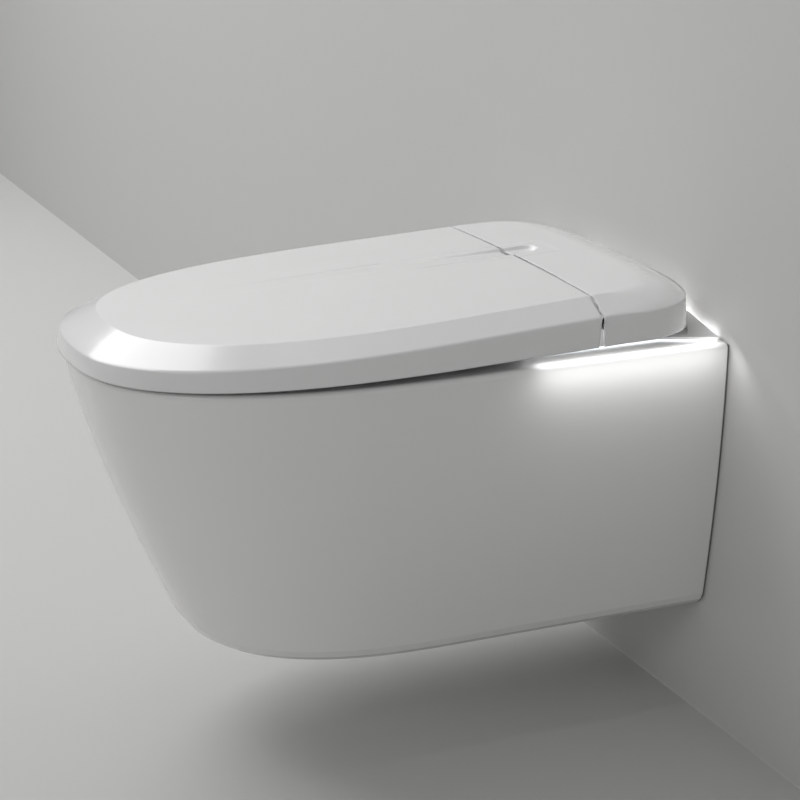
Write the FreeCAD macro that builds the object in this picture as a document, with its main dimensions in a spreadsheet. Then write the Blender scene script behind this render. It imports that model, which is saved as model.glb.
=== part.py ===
import FreeCAD, Part
import math
import os
import Sketcher
from FreeCAD import Placement, Rotation, Vector

# Wall-hung shower toilet.
# X runs across the bowl, -Y points into the room, +Z is up, and the wall is the plane Y = 0.
# The origin is the middle of the two wall fixings, on the wall.

# Driving dimensions, in millimetres unless the note says otherwise

SIZES = (
    ("rim_height", 92, "ceramic rim above the line of the wall fixings"),
    ("bowl_height", 278, "ceramic from foot to rim"),
    ("bowl_width", 374, "ceramic across the wall at the rim"),
    ("bowl_swell", 3, "how much wider the ceramic is where its round front starts"),
    ("bowl_waist_setback", 270, "where the round front starts, from the wall"),
    ("bowl_projection", 588, "front of the ceramic rim from the wall"),
    ("foot_width", 318, "ceramic across its foot"),
    ("foot_projection", 488, "front of the foot from the wall"),
    ("front_power", 2.55, "squareness of the round front, no unit"),
    ("rim_radius", 5, "rounding of the outer rim edge"),
    ("foot_radius", 14, "rounding of the foot edge"),
    ("ceramic_wall", 11, "thickness of the ceramic skirt and basin"),
    ("deck_thickness", 16, "thickness of the rear deck"),
    ("gasket_thickness", 3, "sound mat between ceramic and wall"),
    ("gasket_inset", 2, "edge of the sound mat inside the ceramic edge"),
    ("basin_width", 272, "basin mouth across"),
    ("basin_front", 552, "front of the basin mouth from the wall"),
    ("basin_rear", 226, "rear of the basin mouth from the wall"),
    ("basin_depth", 190, "rim to the bottom of the sump"),
    ("sump_rise", 80, "where basin and sump meet, above the bottom of the sump"),
    ("sump_width", 96, "bottom of the sump across"),
    ("sump_front", 418, "front of the sump from the wall"),
    ("sump_rear", 300, "rear of the sump from the wall"),
    ("basin_power", 2.2, "squareness of the basin, no unit"),
    ("trap_bore", 60, "clear width of the trap"),
    ("trap_wall", 9, "wall of the trap"),
    ("trap_bend", 41, "bend radius of the trap"),
    ("trap_dip", 38, "lowest point of the trap's middle line below the sump"),
    ("trap_crest", 73, "highest point of the trap's middle line above the sump"),
    ("fixing_spacing", 180, "between the two wall fixings"),
    ("fixing_hole", 24, "hole in the ceramic lug"),
    ("stud_hole", 13, "bore of the sleeve, for an M12 stud"),
    ("sleeve_flange", 36, "flange of the sleeve across"),
    ("lug_depth", 28, "ceramic lug from front to back"),
    ("lug_height", 62, "ceramic lug from top to bottom"),
    ("lug_reach", 28, "lug from the middle of its hole towards the bowl's middle"),
    ("outlet_drop", 100, "outlet below the wall fixings"),
    ("outlet_diameter", 102, "outside of the outlet spigot"),
    ("outlet_bore", 82, "inside of the outlet spigot"),
    ("outlet_length", 58, "length of the outlet spigot"),
    ("pipe_recess", 6, "spigot and socket ends behind the ceramic's rear face"),
    ("inlet_rise", 35, "flush inlet above the wall fixings"),
    ("inlet_socket", 55, "bore of the flush socket"),
    ("inlet_outside", 76, "outside of the flush socket"),
    ("inlet_length", 60, "length of the flush socket"),
    ("flush_pipe", 45.5, "bore of the flush pipe's seal"),
    ("seal_length", 42, "length of the flush pipe's seal"),
    ("seal_lip", 3, "lip of the flush pipe's seal"),
    ("flush_bore", 34, "flush channel from socket to basin"),
    ("flush_wall", 8, "wall of the flush channel"),
    ("fit_gap", 0.05, "gap of a seated round fit, on the radius"),
    ("unit_projection", 591.4, "front of the lid from the wall"),
    ("unit_width", 374.6, "lid across its widest place"),
    ("unit_widest_setback", 290, "widest place of the lid from the wall"),
    ("unit_shoulder", 365.8, "cover across where its round rear starts"),
    ("unit_shoulder_setback", 110, "where the round rear starts, from the wall"),
    ("unit_rear_gap", 9, "rear of the cover from the wall"),
    ("rear_power", 3.3, "squareness of the round rear, no unit"),
    ("lid_gap_front", 1.7, "lower edge of the lid above the rim at its front"),
    ("lid_gap_rear", 14.7, "lower edge of the cover above the rim at the wall"),
    ("edge_front", 18.5, "side edge above the rim at the front of the lid"),
    ("edge_rear", 45.1, "side edge above the rim at the wall"),
    ("edge_flare", 1.8, "lower edge of the side outside its upper edge"),
    ("edge_radius", 3.5, "rounding of the side edge"),
    ("bevel_width", 29.7, "sloping border of lid and cover"),
    ("bevel_rise", 13.8, "rise of the sloping border"),
    ("crown_rise", 2.5, "rise of the crowned top between the borders"),
    ("shell_wall", 3, "wall of lid and cover"),
    ("split_setback", 134.5, "joint line of lid and cover from the wall, on top"),
    ("split_gap", 2, "gap of the joint line on top"),
    ("split_lean", 6, "how far the joint line leans forward at the lower edge"),
    ("split_wedge", 4, "how much wider the gap is at the lower edge"),
    ("groove_front", 238, "front end of the finger groove from the wall"),
    ("groove_rear", 113, "rear end of the finger groove from the wall"),
    ("groove_radius", 60, "section radius of the finger groove"),
    ("groove_offset", 24, "finger groove left of the middle"),
    ("groove_depth", 3.4, "finger groove at its rear end"),
    ("hinge_setback", 151.5, "hinge axis from the wall"),
    ("hinge_height", 40, "hinge axis above the rim"),
    ("hinge_pin", 6, "hinge pin diameter"),
    ("hinge_fit", 0.05, "running gap on a hinge pin, on the radius"),
    ("knuckle_radius", 6.5, "hinge knuckles and posts"),
    ("hinge_inner", 60, "inner face of the inner hinge post from the middle"),
    ("post_width", 12, "width of a hinge post"),
    ("lid_knuckle", 12.5, "width of a lid knuckle"),
    ("seat_knuckle", 13.5, "width of a seat knuckle"),
    ("knuckle_gap", 0.5, "side gap between knuckles and posts"),
    ("drum_gap", 1.6, "gap between the lid's sweep and the cover's hollow front"),
    ("damper_length", 36, "soft-close damper"),
    ("seat_inset", 13, "seat edge inside the lid's edge"),
    ("seat_bottom", 6.5, "underside of the seat above the rim"),
    ("seat_thickness", 13.5, "seat from underside to top"),
    ("seat_radius", 5, "rounding of the seat's upper edges"),
    ("seat_rear", 207.5, "rear edge of the seat from the wall"),
    ("seat_hole_width", 216, "seat opening across"),
    ("seat_hole_front", 534, "front of the seat opening from the wall"),
    ("seat_hole_rear", 262, "rear of the seat opening from the wall"),
    ("bumper_radius", 7, "rubber bumpers"),
    ("bumper_rest", 0.3, "lid bumper above the seat"),
    ("lid_bumper_height", 5, "rubber bumper of the lid"),
    ("front_bumper_setback", 478, "front bumpers from the wall"),
    ("front_bumper_inset", 62, "front bumpers inside the lid's widest place"),
    ("rear_bumper_setback", 285, "rear bumpers from the wall"),
    ("rear_bumper_inset", 36, "rear bumpers inside the lid's widest place"),
    ("plate_thickness", 2.4, "mounting plate on the deck"),
    ("plate_width", 214, "mounting plate across"),
    ("plate_depth", 46, "mounting plate from front to back"),
    ("bolt_spacing", 155, "between the two deck bolts"),
    ("bolt_setback", 130, "deck bolts from the wall"),
    ("bolt_diameter", 8, "deck bolt"),
    ("bolt_length", 52, "deck bolt below its head"),
    ("bolt_head", 14, "head of the deck bolt"),
    ("bolt_head_height", 4, "head of the deck bolt from top to bottom"),
    ("head_gap", 1.5, "gap round the bolt's head in the chassis"),
    ("deck_hole", 15, "hole in the deck for a bolt and its sleeve"),
    ("bolt_sleeve_length", 38, "rubber sleeve of a deck bolt"),
    ("nut_across", 13, "nut of a deck bolt, across its corners"),
    ("nut_height", 7, "nut of a deck bolt"),
    ("floor_thickness", 1.8, "floor of the chassis"),
    ("chassis_front", 205.5, "front of the chassis from the wall"),
    ("chassis_width", 306, "chassis across its sides"),
    ("chassis_waist_setback", 58, "where the chassis flares to the wall"),
    ("chassis_flare", 10.3, "chassis corner at the wall inside the ceramic's side"),
    ("chassis_rear_gap", 7, "chassis from the wall"),
    ("corner_rise", 12.4, "raised rear corner of the chassis"),
    ("corner_inner", 112, "top of the raised corner from the middle"),
    ("corner_gap", 1.2, "gap between cover and raised corner"),
    ("chassis_wall", 2.5, "side wall of the chassis"),
    ("chassis_wall_height", 14, "side wall of the chassis above its floor"),
    ("light_width", 7, "night light strip"),
    ("light_inset", 1, "night light strip inside the chassis edge"),
    ("light_start", 199, "front end of the night light from the wall"),
    ("lens_thickness", 1.3, "diffuser of the night light"),
    ("board_thickness", 0.8, "LED board of the night light"),
    ("arm_width", 14, "spray arm across"),
    ("arm_height", 9, "spray arm from top to bottom"),
    ("arm_length", 147, "spray arm without its tip"),
    ("arm_tilt", 4, "fall of the spray arm, in degrees"),
    ("arm_passes_at", 7, "middle of the spray arm above the rim at the rear of the basin"),
    ("arm_bore", 5, "water channel of the spray arm"),
    ("arm_travel", 100, "travel of the spray arm"),
    ("tip_length", 15, "nozzle tip"),
    ("tip_back", 18, "front of the spray arm behind the rear of the basin"),
    ("slide_gap", 0.3, "gap between arm and guide"),
    ("guide_wall", 2.4, "wall of the arm guide"),
    ("guide_length", 54, "length of the arm guide"),
    ("guide_back", 24, "front of the arm guide behind the rear of the basin"),
    ("gear_module", 1, "tooth module of rack and pinion"),
    ("pinion_teeth", 12, "teeth of the pinion, no unit"),
    ("pinion_height", 7, "pinion from top to bottom"),
    ("pinion_back", 34, "pinion behind the rear of the basin"),
    ("tooth_play", 0.3, "play between rack and pinion teeth"),
    ("pinion_shaft", 3, "shaft of the pinion"),
    ("motor_diameter", 18, "arm motor"),
    ("motor_height", 13, "arm motor"),
    ("fascia_width", 162, "front fascia across"),
    ("fascia_rear", 175.5, "rear of the front fascia from the wall"),
    ("fascia_height", 36, "front fascia above the rim"),
    ("fascia_wall", 2, "wall of the front fascia"),
    ("fascia_radius", 6, "rounding of the front fascia"),
    ("port_gap", 1, "gap round the arm in the front fascia"),
    ("heater_length", 66, "flow heater across"),
    ("heater_depth", 38, "flow heater from front to back"),
    ("heater_height", 27, "flow heater"),
    ("heater_place", 84, "middle of the flow heater from the middle"),
    ("pump_diameter", 26, "water pump"),
    ("pump_length", 52, "water pump"),
    ("pump_place", 52, "inner end of the water pump from the middle"),
    ("works_setback", 84, "heater and pump from the wall"),
    ("valve_length", 30, "inlet valve body"),
    ("valve_depth", 22, "inlet valve body"),
    ("valve_height", 16, "inlet valve body"),
    ("valve_place", 74, "middle of the inlet valve from the middle"),
    ("valve_setback", 42, "inlet valve from the wall"),
    ("coil_diameter", 15, "coil of the inlet valve"),
    ("coil_height", 14, "coil of the inlet valve"),
    ("supply_diameter", 20.9, "supply fitting"),
    ("supply_length", 44, "supply fitting below the deck's top"),
    ("supply_bore", 14, "bore of the supply fitting"),
    ("supply_flange", 30, "flange of the supply fitting"),
    ("supply_hole", 24, "hole in the deck for the supply fitting"),
    ("board_width", 100, "control board across"),
    ("board_depth", 54, "control board from front to back"),
    ("board_setback", 74, "middle of the control board from the wall"),
    ("board_level", 36, "control board above the rim"),
    ("circuit_thickness", 1.6, "control board"),
    ("pillar_radius", 3, "pillars under the control board"),
)

doc = FreeCAD.newDocument("shower_toilet")
sheet = doc.addObject("Spreadsheet::Sheet", "sizes")
for row, (alias, value, note) in enumerate(SIZES, start=1):
    sheet.set(f"A{row}", note)
    sheet.set(f"B{row}", str(value))
    sheet.setAlias(f"B{row}", alias)
doc.recompute()


def size(alias):
    return float(sheet.get(alias))


def above_rim(height):
    return size("rim_height") + height


# Working allowances: how far cutting bodies run past what they cut, the share of the arm guide
# that stands on its foot, and how many points shape a round end
OVERRUN = 60
FOOT_SHARE = 0.25
END_STEPS = 12
nodes = []


def keep(obj, label):
    obj.Label = label
    nodes.append(obj)
    return obj


def shaped(label, shape):
    """A node whose shape is worked out here from the sheet's sizes."""
    obj = doc.addObject("Part::Feature", label)
    obj.Shape = shape
    return keep(obj, label)


def bound(kind, name, **expressions):
    """A document object whose properties follow the sheet."""
    obj = doc.addObject(kind, name)
    for prop, expression in expressions.items():
        obj.setExpression(prop.replace("__", "."), expression)
    return obj


def placed(obj, x, y, z, rotation=None):
    """Ties an object's place to the sheet."""
    if rotation:
        obj.Placement = Placement(Vector(), rotation)
    for axis, expression in zip("xyz", (x, y, z)):
        obj.setExpression(f"Placement.Base.{axis}", expression)
    return obj


def boolean(kind, name, base, tool):
    obj = doc.addObject(kind, name)
    obj.Base = base
    obj.Tool = tool
    return obj


def pair(label, source):
    """A piece and its mirror image, as two solids of one node."""
    twin = doc.addObject("Part::Mirroring", f"{label}_twin")
    twin.Source = source
    twin.Normal = Vector(1, 0, 0)
    both = doc.addObject("Part::Compound", label)
    both.Links = [source, twin]
    return keep(both, label)


def mirrored(shape):
    return shape.mirror(Vector(), Vector(1, 0, 0))


def both_sides(shape):
    return shape.fuse(mirrored(shape))


def box(x_low, x_high, y_low, y_high, z_low, z_high):
    return Part.makeBox(x_high - x_low, y_high - y_low, z_high - z_low, Vector(x_low, y_low, z_low))


def rod_x(radius, x_low, x_high, y, z):
    return Part.makeCylinder(radius, x_high - x_low, Vector(x_low, y, z), Vector(1, 0, 0))


def rod_y(radius, y_low, y_high, x, z):
    return Part.makeCylinder(radius, y_high - y_low, Vector(x, y_low, z), Vector(0, 1, 0))


def rod_z(radius, z_low, z_high, x, y):
    return Part.makeCylinder(radius, z_high - z_low, Vector(x, y, z_low))


def prism_x(outline, x_low, x_high):
    """A (y, z) outline drawn out along X."""
    wire = Part.makePolygon([Vector(x_low, y, z) for y, z in outline + outline[:1]])
    return Part.Face(wire).extrude(Vector(x_high - x_low, 0, 0))


def prism_z(outline, z_low, z_high):
    """An (x, y) outline drawn up along Z."""
    wire = Part.makePolygon([Vector(x, y, z_low) for x, y in outline + outline[:1]])
    return Part.Face(wire).extrude(Vector(0, 0, z_high - z_low))


def end_points(half_width, start_y, end_y, power, height_at, steps):
    """Points from +half_width round the end at end_y to -half_width, on a superellipse."""
    points = []
    for step in range(steps + 1):
        turn = math.pi * step / steps
        across = math.cos(turn)
        along = abs(math.sin(turn)) ** (2 / power)
        y = start_y + (end_y - start_y) * along
        x = half_width * math.copysign(abs(across) ** (2 / power), across)
        points.append(Vector(x, y, height_at(y)))
    return points


def round_end(half_width, start_y, end_y, power, height_at, level_ends=False):
    """The same end as one smooth curve.
    Level ends leave exactly along Y, so that two of them join smoothly."""
    points = end_points(half_width, start_y, end_y, power, height_at, END_STEPS)
    curve = Part.BSplineCurve()
    if level_ends:
        ahead = Vector(0, math.copysign(1, end_y - start_y), 0)
        curve.interpolate(Points=points, InitialTangent=ahead, FinalTangent=-ahead)
    else:
        curve.interpolate(points)
    return curve.toShape()


def closed_wire(front, rear):
    """Joins a front end and a rear end, both running from +X to -X, with two straight sides."""
    left = Part.makeLine(front.lastVertex().Point, rear.lastVertex().Point)
    right = Part.makeLine(rear.firstVertex().Point, front.firstVertex().Point)
    return Part.Wire([front, left, rear, right])


# Ceramic skirt
# The bowl is one casting. It is kept here as skirt, deck, basin, sump, trap, inlet and lugs,
# which meet face to face. The skirt is its outer wall with the foot, open at the wall.

rim = size("rim_height")
foot = rim - size("bowl_height")
ceramic_rear = -size("gasket_thickness")
wall = size("ceramic_wall")
SIDE_POWER = 1.7
RAKE_POWER = 1.28
BOWL_LEVELS = 5
BASIN_LEVELS = 8
BASIN_POWER = 2
BASIN_STEPS = 22
ROUND_STEPS = 3


def bowl_half_width(drop, rim_half):
    """Half width of the skirt at a share of the height below the rim: upright at first, then drawn in."""
    return rim_half - (rim_half - size("foot_width") / 2) * drop**SIDE_POWER


def bowl_wire(drop, inset, z, rear_y):
    rake = size("bowl_projection") - size("foot_projection")
    front_y = size("bowl_projection") - rake * drop**RAKE_POWER
    front = round_end(
        bowl_half_width(drop, (size("bowl_width") + size("bowl_swell")) / 2) - inset,
        -size("bowl_waist_setback"),
        inset - front_y,
        size("front_power"),
        lambda y: z,
    )
    half = bowl_half_width(drop, size("bowl_width") / 2) - inset
    rear = Part.makeLine(Vector(half, rear_y, z), Vector(-half, rear_y, z))
    return closed_wire(front, rear)


def bowl_section(z, inset):
    return bowl_wire((rim - z) / size("bowl_height"), inset, z, ceramic_rear)


def bowl_form(inset, top, bottom, rear_y):
    wires = []
    for level in range(BOWL_LEVELS):
        z = top + (bottom - top) * level / (BOWL_LEVELS - 1)
        wires.append(bowl_wire(max(rim - z, 0) / size("bowl_height"), inset, z, rear_y))
    return Part.makeLoft(wires, True, False)


def basin_form(grow, top):
    """The basin's hollow, grown by a wall. Its sides stay steep near the rim and close in to the sump."""
    wires = []
    for level in range(BASIN_LEVELS):
        depth = level / (BASIN_LEVELS - 1)
        close = depth**BASIN_POWER
        half = size("basin_width") / 2 + (size("sump_width") - size("basin_width")) / 2 * close + grow
        front_y = -size("basin_front") + (size("basin_front") - size("sump_front")) * close - grow
        rear_y = -size("basin_rear") + (size("basin_rear") - size("sump_rear")) * close + grow
        z = rim - (size("basin_depth") + grow) * depth
        middle = (front_y + rear_y) / 2
        ends = (half, middle, front_y), (-half, middle, rear_y)
        ring = []
        for end in ends:
            ring += end_points(*end, size("basin_power"), lambda y, z=z: z, BASIN_STEPS)[:-1]
        wires.append(Part.makePolygon(ring + ring[:1]))
    form = Part.makeLoft(wires, True, True)
    if top > rim:
        form = form.fuse(Part.Face(wires[0]).extrude(Vector(0, 0, top - rim)))
    return form


def trap_path():
    """Middle line of the trap, in the plane X = 0: down the sump, under, up over the crest, out."""
    dip = rim - size("basin_depth") - size("trap_dip")
    crest = rim - size("basin_depth") + size("trap_crest")
    bend = size("trap_bend")
    sump_y = -(size("sump_front") + size("sump_rear")) / 2
    corners = [
        Vector(0, sump_y, rim - size("basin_depth") + bend),
        Vector(0, sump_y, dip),
        Vector(0, sump_y + 2.25 * bend, dip),
        Vector(0, sump_y + 3.75 * bend, crest),
        Vector(0, sump_y + 5.05 * bend, crest),
        Vector(0, sump_y + 6.3 * bend, -size("outlet_drop")),
        Vector(0, ceramic_rear - size("pipe_recess") - size("outlet_length") / 2, -size("outlet_drop")),
    ]
    points = [corners[0]]
    for before, corner, after in zip(corners, corners[1:], corners[2:]):
        incoming = (corner - before).normalize()
        outgoing = (after - corner).normalize()
        turn = incoming.getAngle(outgoing)
        inward = (outgoing - incoming).normalize()
        centre = corner + inward * (bend / math.cos(turn / 2))
        for step in range(ROUND_STEPS + 1):
            swing = turn * (step / ROUND_STEPS - 0.5)
            spoke = Rotation(incoming.cross(outgoing), math.degrees(swing)).multVec(-inward)
            points.append(centre + spoke * bend)
    return Part.makePolygon(points + corners[-1:])


def tube_along(path, radius):
    """Pipe with mitred bends."""
    start = path.Edges[0]
    ring = Part.makeCircle(radius, start.firstVertex().Point, start.tangentAt(start.FirstParameter))
    return path.makePipeShell([Part.Wire(ring)], True, False, 1)


def edges_where(shape, test):
    return [edge for edge in shape.Edges if test(edge)]


outlet_end = ceramic_rear - size("pipe_recess")
inlet_z = size("inlet_rise")
skirt_top = rim - size("rim_radius")
skirt_low = foot + size("foot_radius")
rim_rounding = []
foot_rounding = []
for step in range(ROUND_STEPS + 1):
    turn = math.pi / 2 * step / ROUND_STEPS
    z = skirt_top + size("rim_radius") * math.cos(turn)
    rim_rounding.append(bowl_section(z, size("rim_radius") * (1 - math.sin(turn))))
    z = skirt_low - size("foot_radius") * math.sin(turn)
    foot_rounding.append(bowl_section(z, size("foot_radius") * (1 - math.cos(turn))))
skirt = bowl_form(0, skirt_top, skirt_low, ceramic_rear)
skirt = skirt.fuse(Part.makeLoft(rim_rounding, True, True)).fuse(Part.makeLoft(foot_rounding, True, True))
hollow = bowl_form(wall, rim + wall, foot + wall, OVERRUN)
shaped("ceramic_skirt", skirt.cut(hollow).Solids[0])

# Ceramic deck
# The flat top inside the skirt, with the basin's mouth and the holes for bolts and water supply.

deck_low = rim - size("deck_thickness")
behind_rear = box(-size("bowl_width"), size("bowl_width"), -size("bowl_projection") - OVERRUN,
                  ceramic_rear,
                  foot - OVERRUN, rim)
inside = hollow.common(behind_rear)
deck = inside.common(box(-size("bowl_width"), size("bowl_width"), -size("bowl_projection"), 0, deck_low,
                         rim))
bolt_hole = rod_z(size("deck_hole") / 2, rim - OVERRUN, rim + OVERRUN, size("bolt_spacing") / 2,
                  -size("bolt_setback"))
deck = deck.cut(basin_form(0, rim + OVERRUN)).cut(both_sides(bolt_hole))
deck = deck.cut(rod_z(size("supply_hole") / 2, rim - OVERRUN, rim + OVERRUN, -size("valve_place"),
                      -size("valve_setback")))
shaped("ceramic_deck", deck.Solids[0])

# Ceramic basin and sump
# The rimless bowl under the deck. The flush channel enters at its rear, the trap leaves the sump's bottom.

below_deck = box(-size("bowl_width"), size("bowl_width"), -size("bowl_projection"), 0, foot, deck_low)
basin_outer = basin_form(wall, rim).common(below_deck)
trap = trap_path()
trap_half = size("trap_bore") / 2
trap_outer = tube_along(trap, trap_half + size("trap_wall"))
trap_inner = tube_along(trap, trap_half)
flush_half = size("flush_bore") / 2
flush_way = rod_y(flush_half, -size("basin_rear") - 2 * wall, 0, 0, inlet_z)
basin = basin_outer.cut(basin_form(0, rim + OVERRUN)).cut(trap_inner).cut(flush_way)
sump_top = rim - size("basin_depth") + size("sump_rise")
sump_zone = box(-size("bowl_width"), size("bowl_width"), -size("bowl_projection"), 0, foot, sump_top)
shaped("ceramic_basin", basin.cut(sump_zone).Solids[0])
shaped("ceramic_sump", basin.common(sump_zone).Solids[0])

# Ceramic trap
# Water-sealed way from the sump under and over to the outlet spigot.

spigot = rod_y(size("outlet_diameter") / 2, outlet_end - size("outlet_length"), outlet_end, 0,
               -size("outlet_drop"))
spigot_way = rod_y(size("outlet_bore") / 2, outlet_end - size("outlet_length") + wall, OVERRUN, 0,
                   -size("outlet_drop"))
trap_body = trap_outer.fuse(spigot)
trap_body = trap_body.common(inside).cut(basin_outer)
shaped("ceramic_trap", trap_body.cut(trap_inner).cut(spigot_way).Solids[0])

# Ceramic inlet
# Flush socket at the rear and the channel from it to the basin.

socket = rod_y(size("inlet_outside") / 2, outlet_end - size("inlet_length"), outlet_end, 0, inlet_z)
socket_way = rod_y(size("inlet_socket") / 2, outlet_end - size("inlet_length") + wall, OVERRUN, 0,
                   inlet_z)
channel = rod_y(flush_half + size("flush_wall"), -size("basin_rear") - wall, outlet_end - wall, 0,
                inlet_z)
trap_clear = tube_along(trap, trap_half + size("trap_wall") + size("fit_gap"))
inlet = socket.fuse(channel).cut(basin_outer).cut(basin_form(0, rim)).cut(trap_clear)
shaped("ceramic_inlet", inlet.cut(socket_way).cut(flush_way).Solids[0])

# Ceramic lugs
# Thick bars behind the skirt's sides that take the wall fixings.

lug_middle = size("fixing_spacing") / 2
lug = box(lug_middle - size("lug_reach"), size("bowl_width") / 2, ceramic_rear - size("lug_depth"),
          ceramic_rear,
          -size("lug_height") / 2, size("lug_height") / 2)
lug = lug.common(inside).cut(rod_y(size("fixing_hole") / 2, ceramic_rear - OVERRUN, OVERRUN, lug_middle,
                                   0))
shaped("ceramic_lugs", Part.makeCompound([lug.Solids[0], mirrored(lug.Solids[0])]))

# Wall gasket
# Sound mat between ceramic and wall, with one opening for both pipes and one for each fixing sleeve.

gasket_points = []
for level in range(END_STEPS + 1):
    drop = level / END_STEPS
    half = bowl_half_width(drop, size("bowl_width") / 2) - size("gasket_inset")
    z = rim - size("gasket_inset") - (size("bowl_height") - 2 * size("gasket_inset")) * drop
    gasket_points.append(Vector(half, ceramic_rear, z))
gasket_side = Part.BSplineCurve()
gasket_side.interpolate(gasket_points)
right_edge = gasket_side.toShape()
left_edge = mirrored(right_edge)
gasket_top = Part.makeLine(left_edge.firstVertex().Point, right_edge.firstVertex().Point)
gasket_foot = Part.makeLine(right_edge.lastVertex().Point, left_edge.lastVertex().Point)
gasket = Part.Face(Part.Wire([gasket_top, right_edge, gasket_foot, left_edge]))
gasket = gasket.extrude(Vector(0, size("gasket_thickness"), 0))


def runs_along_y(edge):
    bounds = edge.BoundBox
    return bounds.XLength < 1e-4 and bounds.ZLength < 1e-4


gasket = gasket.makeFillet(size("foot_radius"),
                           edges_where(gasket, lambda e: runs_along_y(e) and e.BoundBox.ZMin < 0))
pipe_half = size("outlet_diameter") / 2 + wall
pipe_window = box(-pipe_half, pipe_half, -OVERRUN, OVERRUN, -size("outlet_drop") - pipe_half,
                  inlet_z + size("inlet_outside") / 2 + wall)
pipe_window = pipe_window.makeFillet(size("foot_radius"), edges_where(pipe_window, runs_along_y))
sleeve_hole = rod_y(size("sleeve_flange") / 2 + size("slide_gap"), -OVERRUN, OVERRUN, lug_middle, 0)
shaped("wall_gasket", gasket.cut(pipe_window).cut(both_sides(sleeve_hole)))

# Fixing sleeves
# Plastic sleeves in the lugs' holes that centre the wall studs. Their flanges lie in the mat.

ALONG_Y = Rotation(Vector(1, 0, 0), -90)
sleeve_barrel = bound("Part::Cylinder", "sleeve_barrel", Radius="sizes.fixing_hole / 2 - sizes.fit_gap",
                      Height="sizes.lug_depth")
placed(sleeve_barrel, "sizes.fixing_spacing / 2", "-sizes.gasket_thickness - sizes.lug_depth", "0",
       ALONG_Y)
sleeve_rim = bound("Part::Cylinder", "sleeve_rim", Radius="sizes.sleeve_flange / 2",
                   Height="sizes.gasket_thickness")
placed(sleeve_rim, "sizes.fixing_spacing / 2", "-sizes.gasket_thickness", "0", ALONG_Y)
sleeve_bore = bound("Part::Cylinder", "sleeve_bore", Radius="sizes.stud_hole / 2",
                    Height="3 * sizes.lug_depth")
placed(sleeve_bore, "sizes.fixing_spacing / 2", "-2 * sizes.lug_depth", "0", ALONG_Y)
sleeve_solid = boolean("Part::Fuse", "sleeve_solid", sleeve_barrel, sleeve_rim)
pair("fixing_sleeves", boolean("Part::Cut", "fixing_sleeve", sleeve_solid, sleeve_bore))

# Inlet seal
# Rubber ring in the flush socket that takes the flush pipe.

seal_barrel = bound("Part::Cylinder", "seal_barrel", Radius="sizes.inlet_socket / 2 - sizes.fit_gap",
                    Height="sizes.seal_length")
placed(seal_barrel, "0", "-sizes.gasket_thickness - sizes.pipe_recess - sizes.seal_length",
       "sizes.inlet_rise", ALONG_Y)
seal_rim = bound("Part::Cylinder", "seal_rim", Radius="sizes.inlet_socket / 2 + sizes.seal_lip",
                 Height="sizes.seal_lip")
placed(seal_rim, "0", "-sizes.gasket_thickness - sizes.pipe_recess", "sizes.inlet_rise", ALONG_Y)
seal_bore = bound("Part::Cylinder", "seal_bore", Radius="sizes.flush_pipe / 2",
                  Height="3 * sizes.seal_length")
placed(seal_bore, "0", "-2 * sizes.seal_length", "sizes.inlet_rise", ALONG_Y)
seal_solid = boolean("Part::Fuse", "seal_solid", seal_barrel, seal_rim)
keep(boolean("Part::Cut", "inlet_seal", seal_solid, seal_bore), "inlet_seal")

# Mounting plate
# Flat steel plate on the deck, held by two bolts. The electric unit clips to it.

plate_body = doc.addObject("PartDesign::Body", "plate_body")
plate_sketch = plate_body.newObject("Sketcher::SketchObject", "plate_sketch")
plate_sketch.AttachmentSupport = (plate_body.Origin.OriginFeatures[3], [""])
plate_sketch.MapMode = "FlatFace"


def sketch_rectangle(sketch, half_x, half_y):
    """A rectangle about the sketch's origin, with its two sizes tied to the sheet."""
    points = [Vector(-10, -5, 0), Vector(10, -5, 0), Vector(10, 5, 0), Vector(-10, 5, 0)]
    for start, end in zip(points, points[1:] + points[:1]):
        sketch.addGeometry(Part.LineSegment(start, end), False)
    for line in range(4):
        sketch.addConstraint(Sketcher.Constraint("Coincident", line, 2, (line + 1) % 4, 1))
    for line, kind in enumerate(("Horizontal", "Vertical", "Horizontal", "Vertical")):
        sketch.addConstraint(Sketcher.Constraint(kind, line))
    sketch.addConstraint(Sketcher.Constraint("Symmetric", 0, 1, 1, 2, -1, 1))
    across = sketch.addConstraint(Sketcher.Constraint("DistanceX", 0, 1, 0, 2, 20))
    along = sketch.addConstraint(Sketcher.Constraint("DistanceY", 1, 1, 1, 2, 10))
    sketch.setExpression(f"Constraints[{across}]", half_x)
    sketch.setExpression(f"Constraints[{along}]", half_y)


def sketch_twin_circles(sketch, spacing, diameter):
    """Two equal circles on the sketch's X axis, either side of the origin."""
    first = sketch.addGeometry(Part.Circle(Vector(6, 0, 0), Vector(0, 0, 1), 2), False)
    second = sketch.addGeometry(Part.Circle(Vector(-6, 0, 0), Vector(0, 0, 1), 2), False)
    sketch.addConstraint(Sketcher.Constraint("PointOnObject", first, 3, -1))
    sketch.addConstraint(Sketcher.Constraint("Symmetric", first, 3, second, 3, -1, 1))
    sketch.addConstraint(Sketcher.Constraint("Equal", first, second))
    apart = sketch.addConstraint(Sketcher.Constraint("DistanceX", second, 3, first, 3, 12))
    across = sketch.addConstraint(Sketcher.Constraint("Diameter", first, 4))
    sketch.setExpression(f"Constraints[{apart}]", spacing)
    sketch.setExpression(f"Constraints[{across}]", diameter)


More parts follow.
